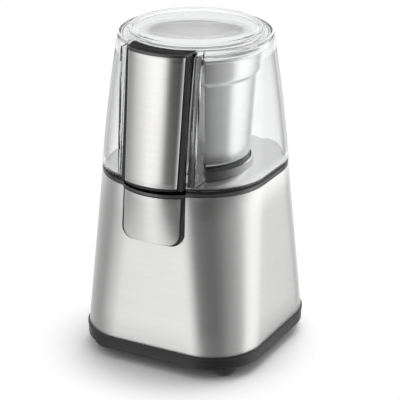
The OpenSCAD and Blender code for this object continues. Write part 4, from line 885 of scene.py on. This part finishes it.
# Brightness of the studio round the object, by azimuth from its front (-Y) towards +X, in degrees. There are
# three heights: what mirrors see well below the horizon, near the horizon, and well above it.
LOW_RING = (
    (-180, 0.8), (-163, 0.7), (-135, 0.7), (-100, 0.42), (-77, 0.38), (-62, 0.50), (-47, 0.68), (-36, 0.86),
    (-28, 1.05), (-20, 1.0), (-11, 0.78), (-1, 0.46), (6, 0.32), (14, 0.25), (28, 0.215), (42, 0.205),
    (50, 0.22), (58, 0.29), (66, 0.35), (80, 0.41), (90, 0.47), (97, 0.58), (103, 1.0), (112, 1.15),
    (124, 1.2), (138, 1.05), (150, 0.82), (158, 0.62), (166, 0.45), (180, 0.6))
MIDDLE_RING = (
    (-180, 1.5), (-152, 1.6), (-120, 1.2), (-95, 0.5), (-78, 0.3), (-70, 0.36), (-64, 0.55), (-56, 0.84),
    (-44, 1.05), (-32, 1.22), (-22, 1.32), (-11, 1.34), (-5, 1.1), (-1, 0.64), (4, 0.17), (9, 0.07),
    (22, 0.05), (40, 0.10), (60, 0.32), (80, 0.62), (96, 1.1), (112, 1.4), (150, 1.6), (180, 1.5))
TOP_RING = (
    (-180, 0.9), (-120, 0.9), (-90, 0.8), (-60, 0.9), (-40, 0.9), (-28, 0.6), (-10, 0.4), (10, 0.26),
    (26, 0.05), (60, 0.03), (80, 0.07), (97, 0.18), (120, 0.55), (150, 0.95), (180, 0.85))
# Heights between which one ring fades into the next, as the z of a ray's direction, and the light overhead
LOW_TO_MIDDLE, MIDDLE_TO_TOP, TOP_TO_OVERHEAD = (-0.205, -0.14), (0.05, 0.25), (0.55, 0.85)
OVERHEAD = 1.0
# Plain light on everything that doesn't mirror: dim from the front and below, bright from behind and above
SOFT_LOW, SOFT_HIGH, SOFT_FADE, SOFT_BEHIND = 0.25, 0.95, (-0.1, 0.9), 0.55
RAMP_TOP = 2.0


def ring_of_light(tree, share, stops):
    """Brightness at share of a turn, from a ramp that holds it divided by RAMP_TOP."""
    ramp = node(tree, "ShaderNodeValToRGB", {0: share})
    ramp.color_ramp.interpolation = "LINEAR"
    elements = ramp.color_ramp.elements
    while len(elements) > 1:
        elements.remove(elements[-1])
    for i, (angle, value) in enumerate(stops):
        place = (angle + 180) / 360
        element = elements[0] if i == 0 else elements.new(place)
        element.position = place
        grey = value / RAMP_TOP
        element.color = (grey, grey, grey, 1.0)
    return calc(tree, "MULTIPLY", ramp.outputs[0], RAMP_TOP)


def mix_values(tree, share, a, b):
    return calc(tree, "ADD", calc(tree, "MULTIPLY", calc(tree, "SUBTRACT", 1.0, share), a),
                calc(tree, "MULTIPLY", share, b))


def smooth_span(tree, value, low, high):
    made = node(tree, "ShaderNodeMapRange", {"Value": value, "From Min": low, "From Max": high},
                interpolation_type="SMOOTHSTEP")
    return made.outputs[0]


def studio_rings(tree, parts):
    """What mirrors see in a direction, from the rings and the light overhead."""
    turn = calc(tree, "ARCTAN2", parts[0], calc(tree, "MULTIPLY", parts[1], -1.0))
    share = calc(tree, "ADD", calc(tree, "MULTIPLY", turn, 1 / (2 * pi)), 0.5)
    level = ring_of_light(tree, share, LOW_RING)
    for stops, fade in ((MIDDLE_RING, LOW_TO_MIDDLE), (TOP_RING, MIDDLE_TO_TOP)):
        upper = ring_of_light(tree, share, stops)
        level = mix_values(tree, smooth_span(tree, parts[2], *fade), level, upper)
    return mix_values(tree, smooth_span(tree, parts[2], *TOP_TO_OVERHEAD), level, OVERHEAD)


def world():
    """Plain light for matt surfaces, rings of light for mirrors, and white for what is seen straight."""
    made = bpy.data.worlds.new("studio")
    scene.world = made
    made.use_nodes = True
    tree = made.node_tree
    tree.nodes.clear()
    path = node(tree, "ShaderNodeLightPath").outputs
    direction = node(tree, "ShaderNodeTexCoord").outputs["Generated"]
    parts = node(tree, "ShaderNodeSeparateXYZ", {0: direction}).outputs
    behind = calc(tree, "ADD", calc(tree, "MULTIPLY", parts[1], SOFT_BEHIND), parts[2])
    soft = mix_values(tree, smooth_span(tree, behind, *SOFT_FADE), SOFT_LOW, SOFT_HIGH)
    level = mix_values(tree, path["Is Glossy Ray"], soft, studio_rings(tree, parts))
    straight = calc(tree, "LESS_THAN", path["Glossy Depth"], 0.5)
    seen = calc(tree, "MAXIMUM", path["Is Camera Ray"], path["Is Transmission Ray"])
    seen = calc(tree, "MULTIPLY", seen, straight)
    strength = mix_values(tree, seen, level, 1.0)
    shader = node(tree, "ShaderNodeBackground", {"Color": (1, 1, 1, 1), "Strength": strength}).outputs[0]
    node(tree, "ShaderNodeOutputWorld", {"Surface": shader})


# The floor turns white between these distances from the middle
FLOOR_HALF, FLOOR_TONE, SHADOW_FADE = 9000.0, (0.93, 0.93, 0.93), (70.0, 115.0)


def floor():
    """A pale floor that keeps the shadow near the object and turns plain white further out."""
    material, tree = new_material("floor")
    path = node(tree, "ShaderNodeLightPath").outputs
    matte = node(tree, "ShaderNodeBsdfDiffuse", {"Color": (*FLOOR_TONE, 1.0)}).outputs[0]
    place = node(tree, "ShaderNodeTexCoord").outputs["Object"]
    away = node(tree, "ShaderNodeVectorMath", {0: place}, operation="LENGTH").outputs["Value"]
    fade = smooth_span(tree, away, *(edge * MM for edge in SHADOW_FADE))
    far = calc(tree, "MULTIPLY", path["Is Camera Ray"], fade)
    lift = node(tree, "ShaderNodeEmission", {"Color": (1, 1, 1, 1), "Strength": 1.0}).outputs[0]
    surface(tree, node(tree, "ShaderNodeMixShader", {0: far, 1: matte, 2: lift}).outputs[0])
    h = FLOOR_HALF
    plane = mesh_object("floor", [(-h, -h, 0), (h, -h, 0), (h, h, 0), (-h, h, 0)], [(0, 1, 2, 3)])
    plane.data.materials.append(material)
    plane.visible_glossy = False
    plane.visible_transmission = False


def aimed(name, data, place, target):
    """An object for data, at place and turned to target."""
    obj = bpy.data.objects.new(name, data)
    scene.collection.objects.link(obj)
    obj.location = place
    obj.rotation_euler = (Vector(target) - Vector(place)).to_track_quat("-Z", "Y").to_euler()
    return obj


def lamp(name, place, target, size, power):
    light = bpy.data.lights.new(name, "AREA")
    light.shape = "RECTANGLE"
    light.size, light.size_y = size
    light.energy = power
    obj = aimed(name, light, place, target)
    obj.visible_glossy = False
    obj.visible_transmission = False


# The photo's camera: its place, the height it aims at, a little right of the object's middle, and its lens
CAMERA_PLACE, AIM_Z, AIM_RIGHT, AZIMUTH = (505.72, -945.41, 532.30), 97.24, 2.684, 28.0
LENS, SENSOR = 156.7, 36.0


def camera():
    lens = bpy.data.cameras.new("camera")
    lens.lens = LENS
    lens.sensor_width = SENSOR
    lens.clip_start = 0.05
    lens.clip_end = 50.0
    right = Vector((cos(radians(AZIMUTH)), sin(radians(AZIMUTH)), 0)) * AIM_RIGHT * MM
    target = Vector((0, 0, AIM_Z * MM)) + right
    scene.camera = aimed("camera", lens, Vector(CAMERA_PLACE) * MM, target)


world()
floor()
# Place, target and size in metres, and power in watts
lamp("key", (0.10, 0.62, 1.15), (0, 0, 0.05), (0.9, 0.9), 9.0)
lamp("fill", (-0.5, -1.1, 0.9), (0, 0, 0.1), (1.2, 0.9), 1.5)
camera()

scene.view_settings.view_transform = "Standard"
scene.cycles.transparent_max_bounces = 40
scene.cycles.max_bounces = 16
scene.cycles.glossy_bounces = 8
scene.cycles.transmission_bounces = 16
